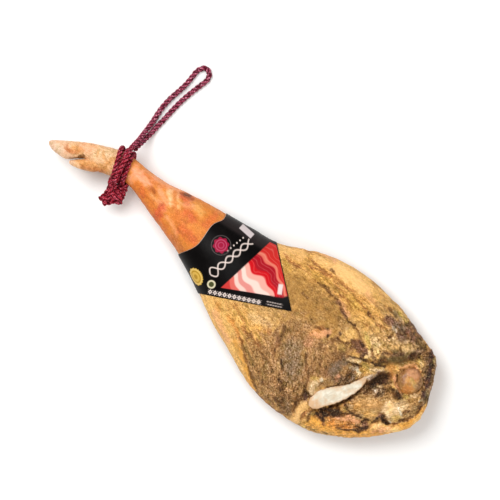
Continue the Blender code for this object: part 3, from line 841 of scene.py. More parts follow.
# What lies where on the cut side and the shank: tissue, half width, strength, rise of the surface, and then
# the x and y of each point of the stroke's line in plan. Some strokes are painted shade and some painted
# highlights, as the comments among them say. Later strokes lie over earlier ones, and the strands lie between
# the fields and the strokes.
FIELDS = [
    # shank and foot: the deep skin along the shank's lower side and the tan and brown along the foot's lower
    # side are painted shade, as is the shade in the cleft between claw and dewclaw, and the pale skin and the
    # light spots along the shank's top are painted highlights
    ("skin_deep", 12, 0.7, 0, -252, 10, -200, -4, -150, -16, -118, -26),
    ("skin_pale", 13, 0.9, 0.3, -252, 38, -222, 42), ("skin_pale", 9, 0.7, 0, -214, 50, -176, 54, -150, 66),
    ("skin_light", 8, 0.9, 0.4, -182, 44, -168, 36), ("skin_light", 5, 0.4, 0, -206, 23, -200, 22),
    ("skin_dark", 5, 0.55, -0.8, -213, 31, -204, 30),
    ("skin_pale", 5, 0.8, 0.4, -238, 34, -226, 30, -220, 38),
    ("skin_deep", 4, 0.6, 0, -236, 45, -216, 42, -200, 44),
    ("skin_pale", 5, 0.6, 0.3, -204, 42, -190, 32, -176, 28),
    ("skin_light", 5, 0.6, 0.3, -168, 48, -160, 42, -156, 34), ("skin_pale", 5, 0.6, 0.3, -256, 22, -246, 19),
    ("skin_pale", 8, 0.7, 0.2, -188, 20, -176, 14), ("peach", 8, 0.45, 0.2, -130, 54, -118, 52),
    ("skin_deep", 4, 0.6, 0, -176, 50, -160, 30, -146, 26),
    ("skin_deep", 5, 0.6, 0, -190, 6, -170, -6, -150, -8),
    ("skin_pale", 5, 0.5, 0, -160, 8, -144, 4, -130, -6), ("skin_red", 4, 0.6, 0, -228, 20, -216, 14),
    ("skin_red", 5, 0.7, 0, -162, 54, -148, 50), ("skin_red", 8, 0.9, 0, -180, 16, -174, 0),
    ("skin_dark", 4.4, 0.8, -0.6, -163, 58, -154, 60, -145, 60), ("plum", 2.6, 0.5, 0, -161, 60, -154, 61),
    ("skin_deep", 6, 0.6, 0, -236, 20, -222, 22, -196, 12), ("skin_red", 9, 0.6, 0, -138, 36, -124, 34),
    ("skin_red", 10, 0.5, 0, -128, 8, -100, 6), ("skin_red", 8, 0.45, 0, -98, 40, -96, 62),
    ("skin_deep", 8, 0.6, 0, -150, 20, -134, 16), ("skin_pale", 7, 0.5, 0, -150, 46, -140, 50),
    ("foot_brown", 8, 0.5, 0, -128, -14, -106, -22), ("foot_tan", 9, 0.8, 0, -338, -8, -312, -2, -296, 8),
    ("skin_pale", 9, 0.6, 0, -350, 16, -336, 22), ("cream", 8, 0.5, 0, -330, 20, -306, 34),
    ("foot_tan", 6, 0.6, 0, -292, 34, -300, 20, -306, -4),
    ("foot_brown", 3.4, 0.7, 0, -352, 4, -362, -4, -372, -6), ("skin_pale", 6, 0.6, 0, -392, -8, -380, -14),
    ("foot_brown", 5, 0.8, 0, -376, -2, -366, -9), ("foot_tan", 6, 0.6, 0, -362, 4, -350, 6),
    ("shade", 3, 0.85, 0, -341, 3, -348, -7, -357, -14), ("foot_brown", 5, 0.5, 0, -330, -14, -300, 2),
    ("foot_tan", 2, 0.5, -0.4, -318, 30, -310, 20), ("foot_tan", 2, 0.5, -0.4, -326, 26, -322, 18),
    # broad fields of the cut side
    ("ochre", 30, 0.9, 0, 40, 98, 120, 98, 210, 92, 258, 86), ("olive", 34, 1.0, 0, 84, 50, 140, 48, 188, 44),
    ("olive", 24, 0.9, 0, 120, 12, 160, 24), ("tan", 20, 0.8, 0, 206, 50, 224, 46),
    ("tan", 26, 0.8, 0, 84, -14, 40, -34), ("fat", 16, 0.9, 0, -30, -64, 20, -74, 60, -66),
    ("ochre", 20, 0.8, 0, 40, -48, 95, -48, 122, -70), ("mould", 34, 1.0, 0, 140, -12, 205, -12),
    ("mould", 44, 1.0, 0, 140, -60, 195, -60), ("mould", 42, 1.0, 0, 120, -96, 190, -104),
    ("brown", 16, 0.8, 0, 98, -76, 118, -90, 140, -108), ("tan", 14, 0.6, 0, 92, -86, 108, -92),
    ("tan", 36, 0.95, 0, 268, 72, 306, 70), ("brown", 24, 0.9, 0, 232, 4, 252, -20, 240, -36),
    ("tan", 18, 0.6, 0, 372, 30, 386, 0), ("muscle", 30, 0.95, 0, 300, -10, 330, -30, 310, -60),
    ("tan", 22, 0.9, 0, 360, 10, 384, 10), ("muscle", 24, 0.9, 0, 318, 50, 350, 56, 366, 40),
    ("brown", 18, 0.9, 0, 286, 98, 330, 100, 352, 92), ("orange", 18, 0.8, 0, 286, -90, 320, -86),
    ("ochre", 14, 0.7, 0, 240, -104, 258, -116),
]
STROKES = [
    ("gold", 9, 0.95, 0.5, 262, -118, 300, -106, 334, -87, 364, -61, 386, -36, 400, -8, 401, 16),
    # upper fat: creases along the leg
    ("peach", 14, 1.0, 1.2, 134, 122, 190, 122), ("peach", 9, 0.8, 0.6, 92, 112, 126, 120),
    ("peach", 10, 0.7, 0.5, 30, 88, 64, 100), ("rust", 2.6, 0.6, -1.0, 88, 104, 106, 103, 134, 104),
    ("rust", 2.4, 0.6, -0.9, 92, 95, 102, 97, 128, 100),
    ("rust", 2.2, 0.5, -0.9, 138, 107, 158, 105, 178, 107), ("umber", 2.6, 0.6, -1.2, 123, 113, 128, 112),
    ("rust", 2.2, 0.5, -0.8, 180, 101, 198, 98, 212, 95, 225, 90),
    ("umber", 2.0, 0.7, -0.8, 216, 93, 225, 90), ("umber", 1.8, 0.6, -0.6, 230, 91, 239, 89),
    ("rust", 1.8, 0.5, -0.6, 243, 85, 252, 84), ("rust", 2.2, 0.5, -0.8, 158, 87, 172, 88, 182, 86),
    ("lemon", 8, 0.5, 0, 176, 94, 196, 90), ("lemon", 8, 0.4, 0, 104, 90, 120, 88),
    ("lemon", 6, 0.5, -0.5, 50, 72, 62, 68), ("rust", 2.4, 0.6, -0.9, 40, 84, 60, 80, 76, 84),
    ("tan", 8, 0.7, 0, 226, 116, 250, 110), ("umber", 2.2, 0.6, -0.8, 242, 122, 256, 118, 268, 122),
    ("pink", 6, 0.5, 0.3, 196, 118, 212, 114), ("pink", 5, 0.6, 0, 96, 126, 120, 130),
    # seam between upper fat and the big muscle
    ("umber", 2.2, 0.75, -1.6, 118, 81, 132, 82, 148, 79, 162, 79),
    ("pink", 3, 0.6, 0.7, 166, 80, 182, 74, 194, 68), ("purple", 3.4, 0.85, -1.6, 164, 77, 178, 70, 192, 63),
    ("dark", 1.8, 0.8, -1.2, 186, 66, 198, 60, 214, 61), ("umber", 2.2, 0.6, -1.0, 214, 58, 226, 54, 236, 50),
    ("brown", 18, 0.35, 0, 128, 66, 160, 64), ("brown", 9, 0.5, 0, 186, 54, 196, 52),
    ("umber", 3, 0.5, -0.6, 108, 50, 116, 47), ("tan", 7, 0.6, 0, 150, 40, 160, 36),
    ("cream", 3, 0.5, 0.5, 206, 48, 214, 44), ("fat", 8, 0.75, 0.8, 214, 46, 232, 44),
    ("dark", 2.4, 0.75, -1.2, 203, 35, 205, 34),
    ("umber", 2.2, 0.8, -1.5, 206, 27, 218, 28, 230, 36, 241, 44),
    # folds in the middle
    ("dark", 2.2, 0.7, -1.4, 162, 16, 170, 20, 180, 27, 188, 22), ("orange", 8, 0.55, 1.0, 166, 6, 174, 16),
    ("pink", 6, 0.8, 1.2, 168, 8, 180, 18, 184, 24), ("dark", 2.6, 0.8, -1.4, 186, 18, 188, 16),
    ("rose", 8, 0.55, 0, 166, -6, 168, -16), ("umber", 3, 0.6, -0.8, 186, -1, 190, -6),
    ("brown", 10, 0.5, 0, 126, 2, 144, -6), ("tan", 6, 0.6, 0, 122, 12, 128, 8),
    ("yellow", 7, 0.6, 0, 216, 18, 226, 12), ("umber", 6, 0.5, -0.6, 206, 24, 200, 18),
    ("purple", 8, 0.5, -0.6, 228, 10, 236, 4), ("brown", 14, 0.6, 0, 206, -10, 214, -34),
    ("umber", 11, 0.45, 0, 222, 8, 226, -24), ("umber", 3, 0.5, -0.6, 204, -22, 210, -32),
    ("grey", 17, 0.85, -0.5, 150, -36, 166, -54, 176, -70), ("slate", 9, 0.35, 0, 160, -58, 170, -66),
    ("slate", 10, 0.85, -0.8, 238, -2, 232, -20, 238, -32), ("purple", 8, 0.4, 0, 222, -36, 230, -44),
    ("purple", 6, 0.35, 0, 112, -28, 124, -44), ("umber", 2.4, 0.6, -1.0, 118, -14, 124, -34, 130, -50),
    ("dark", 2.0, 0.7, -1.2, 128, -56, 134, -61), ("umber", 2.0, 0.5, -0.8, 176, -30, 186, -44, 194, -52),
    ("dark", 1.9, 0.8, -1.3, 150, -66, 156, -71, 163, -78), ("tan", 3.4, 0.6, 0.6, 148, -73, 156, -76),
    ("cream", 2.4, 0.5, 0.5, 132, -87, 140, -90), ("umber", 2.4, 0.5, -0.8, 160, -84, 170, -96, 184, -102),
    ("dark", 3.0, 0.7, -1.0, 178, -105, 182, -110), ("dark", 2.6, 0.6, -0.9, 166, -93, 170, -96),
    ("dark", 3.0, 0.5, -0.8, 146, -116, 150, -120), ("dark", 3.0, 0.5, -0.8, 182, -124, 186, -128),
    ("umber", 7, 0.5, -0.8, 198, -122, 212, -128, 204, -136), ("grey", 8, 0.5, 0, 206, -118, 214, -126),
    ("umber", 8, 0.55, -1.2, 216, -96, 218, -114),
    ("umber", 3.6, 0.6, -1.4, 217, -92, 216, -108, 222, -122, 234, -132),
    ("rust", 5, 0.5, 0, 94, -30, 100, -38), ("cream", 8, 0.45, 0.4, 60, -38, 94, -30),
    # fat strip along the lower rim
    ("fat", 12, 0.95, 1.0, -20, -70, 30, -86, 70, -104, 104, -120, 132, -132),
    ("gold", 5, 0.8, 0, 66, -90, 96, -104, 120, -122, 144, -134),
    ("pink", 6, 0.55, 0, 6, -70, 30, -84, 56, -96), ("orange", 3, 0.5, -0.6, 30, -62, 60, -72, 78, -84),
    ("umber", 2.2, 0.6, -1.4, 70, -78, 94, -98, 112, -110, 132, -124, 150, -132),
    ("umber", 3.4, 0.5, -1.2, 92, -70, 104, -68), ("rust", 2.4, 0.6, -1.0, 60, -60, 80, -66, 104, -68),
    ("umber", 2.2, 0.5, -0.9, 104, -76, 114, -77, 126, -82), ("orange", 4, 0.5, 0, 4, -56, 10, -62),
    # butt end: mould and patches near the upper edge
    ("grey_brown", 10, 0.85, -0.5, 256, 108, 286, 108, 310, 106), ("slate", 7, 0.7, 0, 264, 106, 284, 108),
    ("cream", 5, 0.6, 0.4, 256, 124, 272, 120), ("purple", 8, 0.75, -0.4, 252, 105, 260, 106),
    ("purple", 8, 0.8, -0.5, 294, 108, 308, 110), ("plum", 5, 0.7, -0.8, 284, 95, 296, 94),
    ("plum", 4, 0.6, -0.8, 284, 122, 300, 120, 318, 116), ("yellow", 4, 0.9, 0.5, 264, 127, 282, 124),
    ("moss", 5, 0.6, 0, 256, 122, 262, 118), ("moss", 6, 0.7, -0.5, 316, 108, 334, 104),
    ("white", 2.6, 0.7, 0.5, 268, 99, 276, 97), ("cream", 10, 0.6, 0, 282, 84, 312, 86),
    ("umber", 3, 0.75, -1.0, 276, 88, 272, 81), ("umber", 2.4, 0.7, -0.8, 288, 81, 292, 80),
    ("umber", 3, 0.8, -1.2, 300, 80, 306, 72), ("moss", 4, 0.8, -1.0, 282, 67, 298, 69),
    ("umber", 2.4, 0.8, -1.2, 281, 57, 292, 60), ("cream", 8, 0.45, 0, 246, 62, 266, 58),
    ("yellow", 4, 0.75, 1.0, 236, 62, 250, 53, 258, 46), ("cream", 9, 0.8, 0.6, 258, 34, 268, 42, 268, 56),
    # the ledge: the moss band along its face is painted shade under the overhanging muscle, and the dark line
    # along its edge is a painted shadow
    ("fat", 7, 0.4, 1.0, 266, 44, 276, 60, 296, 80, 312, 88),
    ("moss", 9, 1.0, -2.5, 288, 42, 302, 54, 316, 67, 328, 80),
    ("plum", 3, 0.5, -1.0, 282, 52, 296, 62, 310, 74), ("plum", 6, 0.75, -1.5, 326, 78, 331, 90, 336, 98),
    ("cream", 3, 0.6, 0.8, 330, 92, 334, 98), ("umber", 3, 0.7, -0.8, 262, 46, 269, 38, 277, 34),
    ("umber", 4, 0.75, -1.0, 280, 36, 292, 45), ("purple", 9, 1.0, -1.2, 234, 37, 246, 35),
    ("plum", 3.6, 0.8, -1.2, 240, 46, 252, 42, 257, 34, 254, 26),
    ("dark", 2.6, 0.95, -2.4, 238, 12, 248, 17, 258, 22, 268, 25, 279, 28, 288, 32, 297, 37),
    ("fat", 3, 0.7, 0.8, 240, 24, 248, 22), ("cream", 4, 0.9, 1.6, 242, 10, 250, 12, 257, 16),
    ("yellow", 6, 0.95, 1.4, 268, 16, 282, 15), ("dark", 2.6, 0.7, -1.2, 244, 5, 256, 7, 264, 10),
    ("cream", 5, 0.9, 1.2, 284, 18, 298, 28), ("white", 3.4, 0.9, 1.4, 286, 3, 292, 8, 296, 15),
    ("lemon", 3, 0.6, 0, 276, 8, 282, 12),
    # round the bone: the umber line along its left side is painted shade beside it
    ("grey_brown", 12, 0.95, 0, 262, -8, 256, -24, 244, -34),
    ("white", 3.4, 0.75, 1.2, 252, -1, 260, 3, 270, 1), ("cream", 3, 0.5, 1.0, 266, -4, 272, -2),
    ("umber", 3.6, 0.6, -1.0, 254, -12, 262, -18, 258, -26), ("slate", 4, 0.6, 0, 266, -10, 264, -22),
    ("rose", 4, 0.6, 0.6, 244, -28, 248, -34),
    ("umber", 2.4, 0.7, -1.2, 243, -54, 252, -43, 264, -31, 273, -18, 277, -8),
    ("tan", 6, 0.7, 0.6, 226, -46, 238, -44), ("white", 2.4, 0.7, 0.6, 225, -47, 227, -50),
    ("cream", 8, 0.9, 1.0, 216, -58, 222, -70, 232, -80), ("lemon", 4, 0.5, 0, 210, -56, 216, -52),
    ("umber", 2.8, 0.6, -1.2, 198, -48, 206, -60, 208, -70, 214, -78),
    ("umber", 5, 0.8, -1.4, 216, -84, 228, -84), ("plum", 4, 0.7, -1.2, 221, -88, 226, -95),
    ("peach", 8, 1.0, 1.6, 230, -102, 230, -118, 234, -134), ("cream", 4, 0.7, 0.8, 244, -108, 252, -104),
    ("umber", 2.2, 0.7, -1.4, 246, -100, 250, -98),
    ("umber", 2.4, 0.7, -1.4, 244, -104, 248, -112, 252, -120), ("rust", 2.4, 0.7, -1.0, 240, -98, 240, -126),
    ("olive", 6, 0.7, 0.8, 246, -94, 254, -92), ("gold", 9, 0.95, 0.8, 262, -114, 276, -114, 296, -104),
    ("rust", 3, 0.6, -0.8, 258, -106, 268, -104, 280, -108),
    # dark hollow above the bone: its plum and dark strokes are painted shade over dark meat in the hollow,
    # and the umber lines down the bone's right side are a painted shadow
    ("plum", 13, 1.0, -1.5, 312, 20, 304, 4), ("dark", 8, 1.0, -2.5, 310, 22, 304, 10, 299, -4),
    ("umber", 9, 0.9, -1.0, 296, -8, 298, -22), ("grey_brown", 7, 0.85, 0, 292, -14, 296, -32, 288, -44),
    ("umber", 3, 0.8, -1.4, 289, -16, 288, -32, 283, -46, 278, -58),
    ("umber", 3, 0.7, -1.4, 278, -58, 274, -68, 266, -76), ("rose", 4, 0.5, 0, 284, -56, 288, -62),
    ("grey", 7, 0.9, 0.6, 312, -4, 320, -12, 326, 2), ("cream", 3, 0.8, 1.2, 311, 4, 318, 7),
    ("white", 2.4, 0.6, 0.8, 312, -6, 315, -10), ("dark", 2.6, 0.8, -1.4, 318, -13, 319, -6),
    # muscle roll below
    ("muscle", 12, 0.8, 1.0, 300, -32, 326, -26), ("tan", 9, 0.5, 0.5, 298, -42, 330, -22),
    ("ochre", 8, 0.5, 0.6, 306, -48, 322, -44), ("tan", 7, 0.7, 0.8, 326, -16, 336, -10),
    ("fat", 6, 0.6, 0.8, 334, -40, 326, -52),
    ("dark", 2.4, 0.85, -1.8, 286, -58, 294, -64, 306, -62, 320, -59),
    ("yellow", 3.4, 0.6, 0.6, 288, -64, 296, -68), ("umber", 3, 0.75, -1.4, 280, -76, 290, -77, 300, -68),
    ("pink", 4.4, 0.95, 1.8, 288, -85, 298, -77, 308, -71, 320, -68),
    ("purple", 7, 0.9, 0.6, 332, -62, 336, -66), ("dark", 2.4, 0.85, -1.8, 326, -64, 327, -57, 334, -55),
    ("dark", 2.6, 0.85, -1.8, 344, -44, 345, -56, 341, -67, 333, -73),
    ("umber", 4, 0.8, -1.2, 326, -74, 334, -79),
    ("dark", 2.2, 0.8, -1.4, 300, -98, 311, -94, 322, -86, 332, -80),
    ("orange", 8, 0.7, 0, 288, -97, 314, -84),
    # cavity under the bone: its plum and dark strokes are painted shade over dark meat in the cavity
    ("plum", 8, 1.0, 0, 264, -93, 275, -83), ("dark", 7, 1.0, -2.5, 260, -92, 272, -82, 282, -76),
    ("dark", 4, 0.8, -1.5, 258, -100, 272, -101), ("rose", 2.6, 0.7, 0.6, 262, -97, 264, -98),
    # socket and butt
    ("fat", 9, 0.75, 0.8, 312, 44, 322, 52, 332, 64), ("orange", 8, 0.4, 0, 306, 42, 318, 36),
    ("rust", 3, 0.7, -1.4, 326, 50, 332, 58, 342, 66, 354, 67),
    ("pink", 3, 0.6, 1.0, 322, 54, 334, 68, 350, 72),
    ("umber", 3, 0.85, -2.0, 327, 38, 332, 31, 341, 24, 350, 20),
    ("pink", 2.8, 0.85, 1.6, 323, 36, 329, 28, 337, 22, 348, 18), ("umber", 8, 0.9, -1.0, 326, 12, 350, 10),
    ("dark", 3, 0.8, -1.6, 326, 4, 336, 16, 352, 10), ("tan", 3.4, 0.8, 1.2, 326, 12, 333, 7),
    ("brown", 6, 0.7, 0, 322, 20, 336, 0), ("dark", 2.4, 0.8, -1.4, 346, 14, 354, 10, 361, 8),
    ("dark", 2.4, 0.7, -1.2, 358, 3, 360, 1), ("yellow", 4, 0.8, 0.4, 356, 22, 362, 16),
    ("brown", 6, 0.8, -1.0, 368, 40, 376, 50, 368, 62), ("yellow", 7, 1.0, 1.6, 341, 84, 348, 79),
    ("cream", 3.4, 0.7, 1.0, 344, 82, 350, 77), ("moss", 1.8, 0.9, -1.0, 341, 86, 343, 87),
    ("umber", 4, 0.75, -1.2, 336, 86, 328, 80), ("brown", 9, 0.7, 0.6, 344, 98, 350, 88),
    # Grey-brown mould and plum along the upper rim, partly painted shade where the rim turns down
    ("grey_brown", 10, 0.95, -1.0, 352, 100, 366, 78, 380, 58, 390, 40),
    ("plum", 5, 0.95, -1.8, 350, 104, 362, 88, 371, 72, 380, 56, 386, 42),
    ("moss", 5, 0.6, 0, 374, 84, 384, 66), ("grey", 5, 0.8, 0.4, 362, 102, 374, 88, 386, 62, 392, 46),
    ("cream", 3, 0.7, 0.4, 361, 101, 364, 97), ("cream", 3, 0.6, 0.4, 384, 52, 388, 44),
    ("moss", 4, 0.7, 0, 392, 42, 396, 34), ("umber", 5, 0.6, -0.8, 386, 30, 390, 20),
    ("cream", 3, 0.6, 0.8, 366, 24, 376, 34), ("white", 2, 0.6, 0.8, 383, 26, 387, 32),
    ("muscle", 8, 0.6, 0, 372, 16, 382, 4), ("cream", 13, 1.0, 1.4, 347, -12, 356, -20, 362, -2),
    ("peach", 6, 0.5, 0.8, 350, -10, 354, -20), ("white", 2.6, 0.6, 0.8, 364, -6, 371, -12),
    ("yellow", 5, 0.6, 0, 368, -24, 372, -20), ("umber", 3, 0.7, -1.0, 374, -6, 378, 2),
    ("umber", 2.6, 0.75, -1.8, 392, 20, 394, 8, 391, -4, 388, -13, 380, -20, 376, -30),
    # A groove darkened with painted shade, and a white dash in it that is a painted highlight on its wet
    # surface
    ("purple", 5, 0.9, -1.5, 346, -37, 358, -37), ("dark", 4.6, 1.0, -2.5, 352, -36, 361, -39, 374, -37),
    ("white", 1.8, 0.8, 0.6, 365, -33, 370, -34), ("rust", 2.6, 0.8, 0, 374, -34, 377, -30),
    ("peach", 8, 1.0, 0.8, 350, -57, 366, -49, 384, -38), ("pink", 5, 0.6, 0.4, 356, -54, 374, -45),
    ("rose", 3, 0.5, 0, 352, -66, 368, -54), ("peach", 4, 0.7, 0, 401, -8, 402, 10),
    # Painted shadow along the bone's right side
    ("umber", 2.2, 0.6, -1.0, 290, -4, 289, -22, 285, -38, 278, -54),
]


# Strands of a second tissue in the broad fields: tissue, direction in degrees, size, drawn-out length, seed,
# share and the field, one of the keys in strand_fields
STRANDS = [
    ("fat", 3, 7, 5, 201, 0.55, "upper fat"), ("rust", 3, 6, 6, 211, 0.35, "upper fat"),
    ("fat", -26, 9, 4, 221, 0.5, "left fat"), ("rust", -26, 8, 5, 231, 0.3, "left fat"),
    ("tan", -48, 7, 3, 241, 0.5, "low muscle"), ("umber", -48, 6, 4, 251, 0.35, "low muscle"),
    ("cream", 47, 6, 5, 261, 0.5, "roll"), ("umber", 47, 5, 5, 271, 0.4, "wide roll"),
    ("cream", 20, 7, 3, 281, 0.6, "ledge"), ("moss", 30, 8, 2, 291, 0.35, "upper rim"),
    ("umber", 0, 15, 1, 301, 0.3, "butt"), ("cream", 0, 14, 1, 311, 0.55, "butt and rim"),
    ("umber", 0, 16, 1, 321, 0.3, "lower rim"), ("plum", 15, 7, 2, 331, 0.4, "upper corner"),
]
# Places where the surface is smoother than round them: x, y, radius along x and along y, share
SMOOTH_PLACES = [
    (318, -34, 26, 18, 0.45), (305, 54, 16, 26, 0.4), (160, 124, 40, 14, 0.4), (354, -14, 18, 20, 0.4),
]
BUTT_LIFT = 0.05


def strand_fields(x, y):
    """Where on the cut side each group of strands lies, from 0 to 1."""
    right = smooth_step(x, 262, 290)
    return {
        "upper fat": smooth_step(y, 66, 84) * band(x, 10, 60, 250, 275),
        "left fat": smooth_step(-y, 16, 36) * (1 - smooth_step(x, 90, 120)),
        "low muscle": smooth_step(-y, 0, 30) * band(x, 96, 120, 226, 246),
        "roll": smooth_step(-y, -20, 0) * band(x, 284, 300, 380, 392),
        "wide roll": smooth_step(-y, -26, 0) * band(x, 284, 300, 380, 392),
        "ledge": smooth_step(x, 262, 280) * band(y, 60, 72, 92, 104),
        "upper rim": smooth_step(x, 250, 275) * smooth_step(y, 84, 100),
        "butt": right * (1 - smooth_step(x, 386, 396)),
        "butt and rim": right,
        "lower rim": smooth_step(x, 110, 140) * smooth_step(-y, 60, 90),
        "upper corner": smooth_step(x, 240, 262) * smooth_step(y, 82, 96),
    }


def tissues(p, up):
    """Colour, unevenness and shine at points of the ham, and the rise of the surface there."""
    x, y = (p[..., k] + 2.4 * noise(p, 17, 31 + 2 * k) + 1.1 * noise(p, 5.5, 32 + 2 * k) for k in (0, 1))
    ragged = 0.42 * noise(p, 10, 35) + 0.34 * noise(p, 4.6, 36)
    patchy = 0.5 * noise(p, 7, 37) + 0.4 * noise(p, 3.6, 38)
    look = over(TISSUES["skin"], TISSUES["fat"], smooth_step(p[..., 0], -75, -50))
    look = over(look, TISSUES["foot"], smooth_step(-p[..., 0], 262, 290))
    rise = np.zeros(x.shape)

    def lay(strokes):
        """Lay each stroke over the look, with a ragged edge, and raise or sink the surface along its line."""
        for name, width, strength, height, *numbers in strokes:
            xs, ys = numbers[::2], numbers[1::2]
            reach = width * 1.7 + 6
            near = (x > min(xs) - reach) & (x < max(xs) + reach)
            near &= (y > min(ys) - reach) & (y < max(ys) + reach)
            if not near.any():
                continue
            q = line_distance(x[near], y[near], list(zip(xs, ys))) / width + ragged[near]
            fade, patches = (1.25, 0.5) if width >= 5 else (1.0, 1.2)
            mask = strength * smooth_step(1.5 - q, 0, fade) * np.clip(1 + patches * patchy[near], 0, 1.15)
            look[near] = over(look[near], TISSUES[name], np.clip(mask, 0, 1))
            if height:
                rise[near] += height * np.exp(-(np.clip(q, 0, None) ** 2) * 1.6)

    lay(FIELDS)
    fields = strand_fields(x, y)
    for name, turn, size, length, seed, share, field in STRANDS:
        drawn = smooth_step(streaks(p, turn, size, length, seed), 0.05, 0.5)
        look = over(look, TISSUES[name], share * fields[field] * drawn)
    lay(STROKES)
    look[..., :3] *= 1 + BUTT_LIFT * smooth_step(x, 240, 262)[..., None]
    low_side = smooth_step(-y, 60, 90) * smooth_step(x, 60, 110)
    look[..., 3] *= 1 + 0.55 * smooth_step(x, 235, 270) + 0.25 * low_side
    for *place, share in SMOOTH_PLACES:
        look[..., 3] *= 1 - share * soft_spot(x, y, *place)
    look = over(look, TISSUES["rind"], smooth_step(-up, -0.12, 0.3) * smooth_step(p[..., 0], -80, -40))
    return look, rise * smooth_step(up, -0.1, 0.3)


def grain(p, look):
    """Height of the folds and fibres in millimetres, which run another way in each part of the cut side."""
    x, y = p[..., 0], p[..., 1]
    upper = smooth_step(y, 68, 88) * band(x, 0, 40, 250, 285)
    left = smooth_step(-y, 10, 30) * (1 - smooth_step(x, 100, 130))
    middle = band(x, 95, 125, 225, 245) * smooth_step(-y, -8, 12)
    roll = soft_spot(x, y, 318, -38, 34, 30) + soft_spot(x, y, 300, -86, 40, 14)
    butt = soft_spot(x, y, 378, 14, 22, 34)
    rest = np.clip(1 - upper - left - middle - roll - butt, 0, 1)
    height = upper * streaks(p, 2, 8, 3.6, 111) + left * streaks(p, -24, 8, 3.4, 112)
    height += middle * (0.75 * streaks(p, -52, 8, 2.2, 113) + 0.5 * cloud(p, 6, 2, 114))
    height += roll * streaks(p, 40, 6, 4.0, 115) + butt * streaks(p, 55, 6, 3.0, 116)
    height += rest * cloud(p, 9, 3, 117, 0.62)
    return height * look[..., 3]


# How much a millimetre darkens low places and their blue as painted shade, and brightens high ones as a
# painted highlight, and the tint of the whole
LOW_DARKENS = 0.24
LOW_LOSES_BLUE = 0.2
HIGH_BRIGHTENS = 0.12
TINT = (1.012, 1.022, 1.06)


def paint(obj, look, height):
    """Store the colour, unevenness and shine of each point, with painted shade in low places and a painted
    highlight on high ones.
    """
    low = np.clip(-height, 0, 2.4)
    high = np.clip(height, 0, 1.5)
    tone = look[:, :3] * (1 - LOW_DARKENS * low + HIGH_BRIGHTENS * high)[:, None] * TINT
    tone[:, 2] *= 1 - LOW_LOSES_BLUE * low
    set_attribute(obj, "tone", to_linear(tone))
    set_attribute(obj, "uneven", look[:, 3])
    set_attribute(obj, "shine", look[:, 4])


# The bone edge in plan: its left side and its right side, from its narrow end to its wide end
BONE_SIDES = [
    ((281, 2), (285, 3)), ((277, -8), (289, -6)), ((271, -20), (288.5, -20)), ((262, -33), (284.5, -36)),
    ((250, -45), (279, -50)), ((240, -57), (273, -62)), ((233, -69), (265, -74)), ((231, -80), (258, -83)),
    ((231, -90), (252, -92)), ((236, -98), (245, -98)),
]
BONE_LEFT, BONE_RIGHT = (list(side) for side in zip(*BONE_SIDES))


def bone_plane(x, y):
    """The height at which the bone lies, on a slant from its one end to its other."""
    (ax, ay), (bx, by) = BONE_START, BONE_END
    a, b = leg_top(ax, ay), leg_top(bx, by)
    share = ((x - ax) * (bx - ax) + (y - ay) * (by - ay)) / ((bx - ax) ** 2 + (by - ay) ** 2)
    return a + (b - a) * share + BONE_PROUD


# The leg's mesh: points round its upper and its under side, how much wider than high it is, and the distance
# from ring to ring at places along it, which is widest under the sleeve
LEG_TOP_SIDES, LEG_UNDER_SIDES = 178, 56
LEG_FLATNESS = 2.2
LEG_START_X = -290
LEG_PACE = [(-290, 2.2), (-110, 2.4), (-100, 5), (-10, 5), (20, 2.2), (110, 2.0), (130, 1.36), (405, 1.36)]
FOLD_HEIGHT = 1.25
BONE_BED_DEPTH = 2.0
SOCKET_DEPTH = 3.0


def leg_grid():
    """Points of the plain leg from the ankle on, ring by ring, and the sine of the angle of each."""
    t = TABLE_T[TABLE_X > LEG_START_X]
    row = along(LEG_ROWS, t)
    half = (row[:, 2] - row[:, 1]) / 2
    pace = np.interp(row[1:, 0], *zip(*LEG_PACE))
    steps = np.concatenate([[0], np.cumsum(np.hypot(np.diff(row[:, 0]), np.diff(half)) / pace)])
    stations = np.interp(np.arange(0, steps[-1] - 0.5), steps, t)
    angles = np.concatenate([spread_angles(LEG_TOP_SIDES, LEG_FLATNESS),
                             math.pi + spread_angles(LEG_UNDER_SIDES, LEG_FLATNESS)])
    grid = leg_plain(stations[:, None], angles[None, :])
    return grid, np.broadcast_to(np.sin(angles), grid.shape[:2])


def sink(grid, sine, out, reach, limit):
    """Press a bed into the cut side, within that reach of what lies in it."""
    z = grid[..., 2]
    z[...] = np.where((sine > 0.2) & (out < reach), np.minimum(z, limit), z)


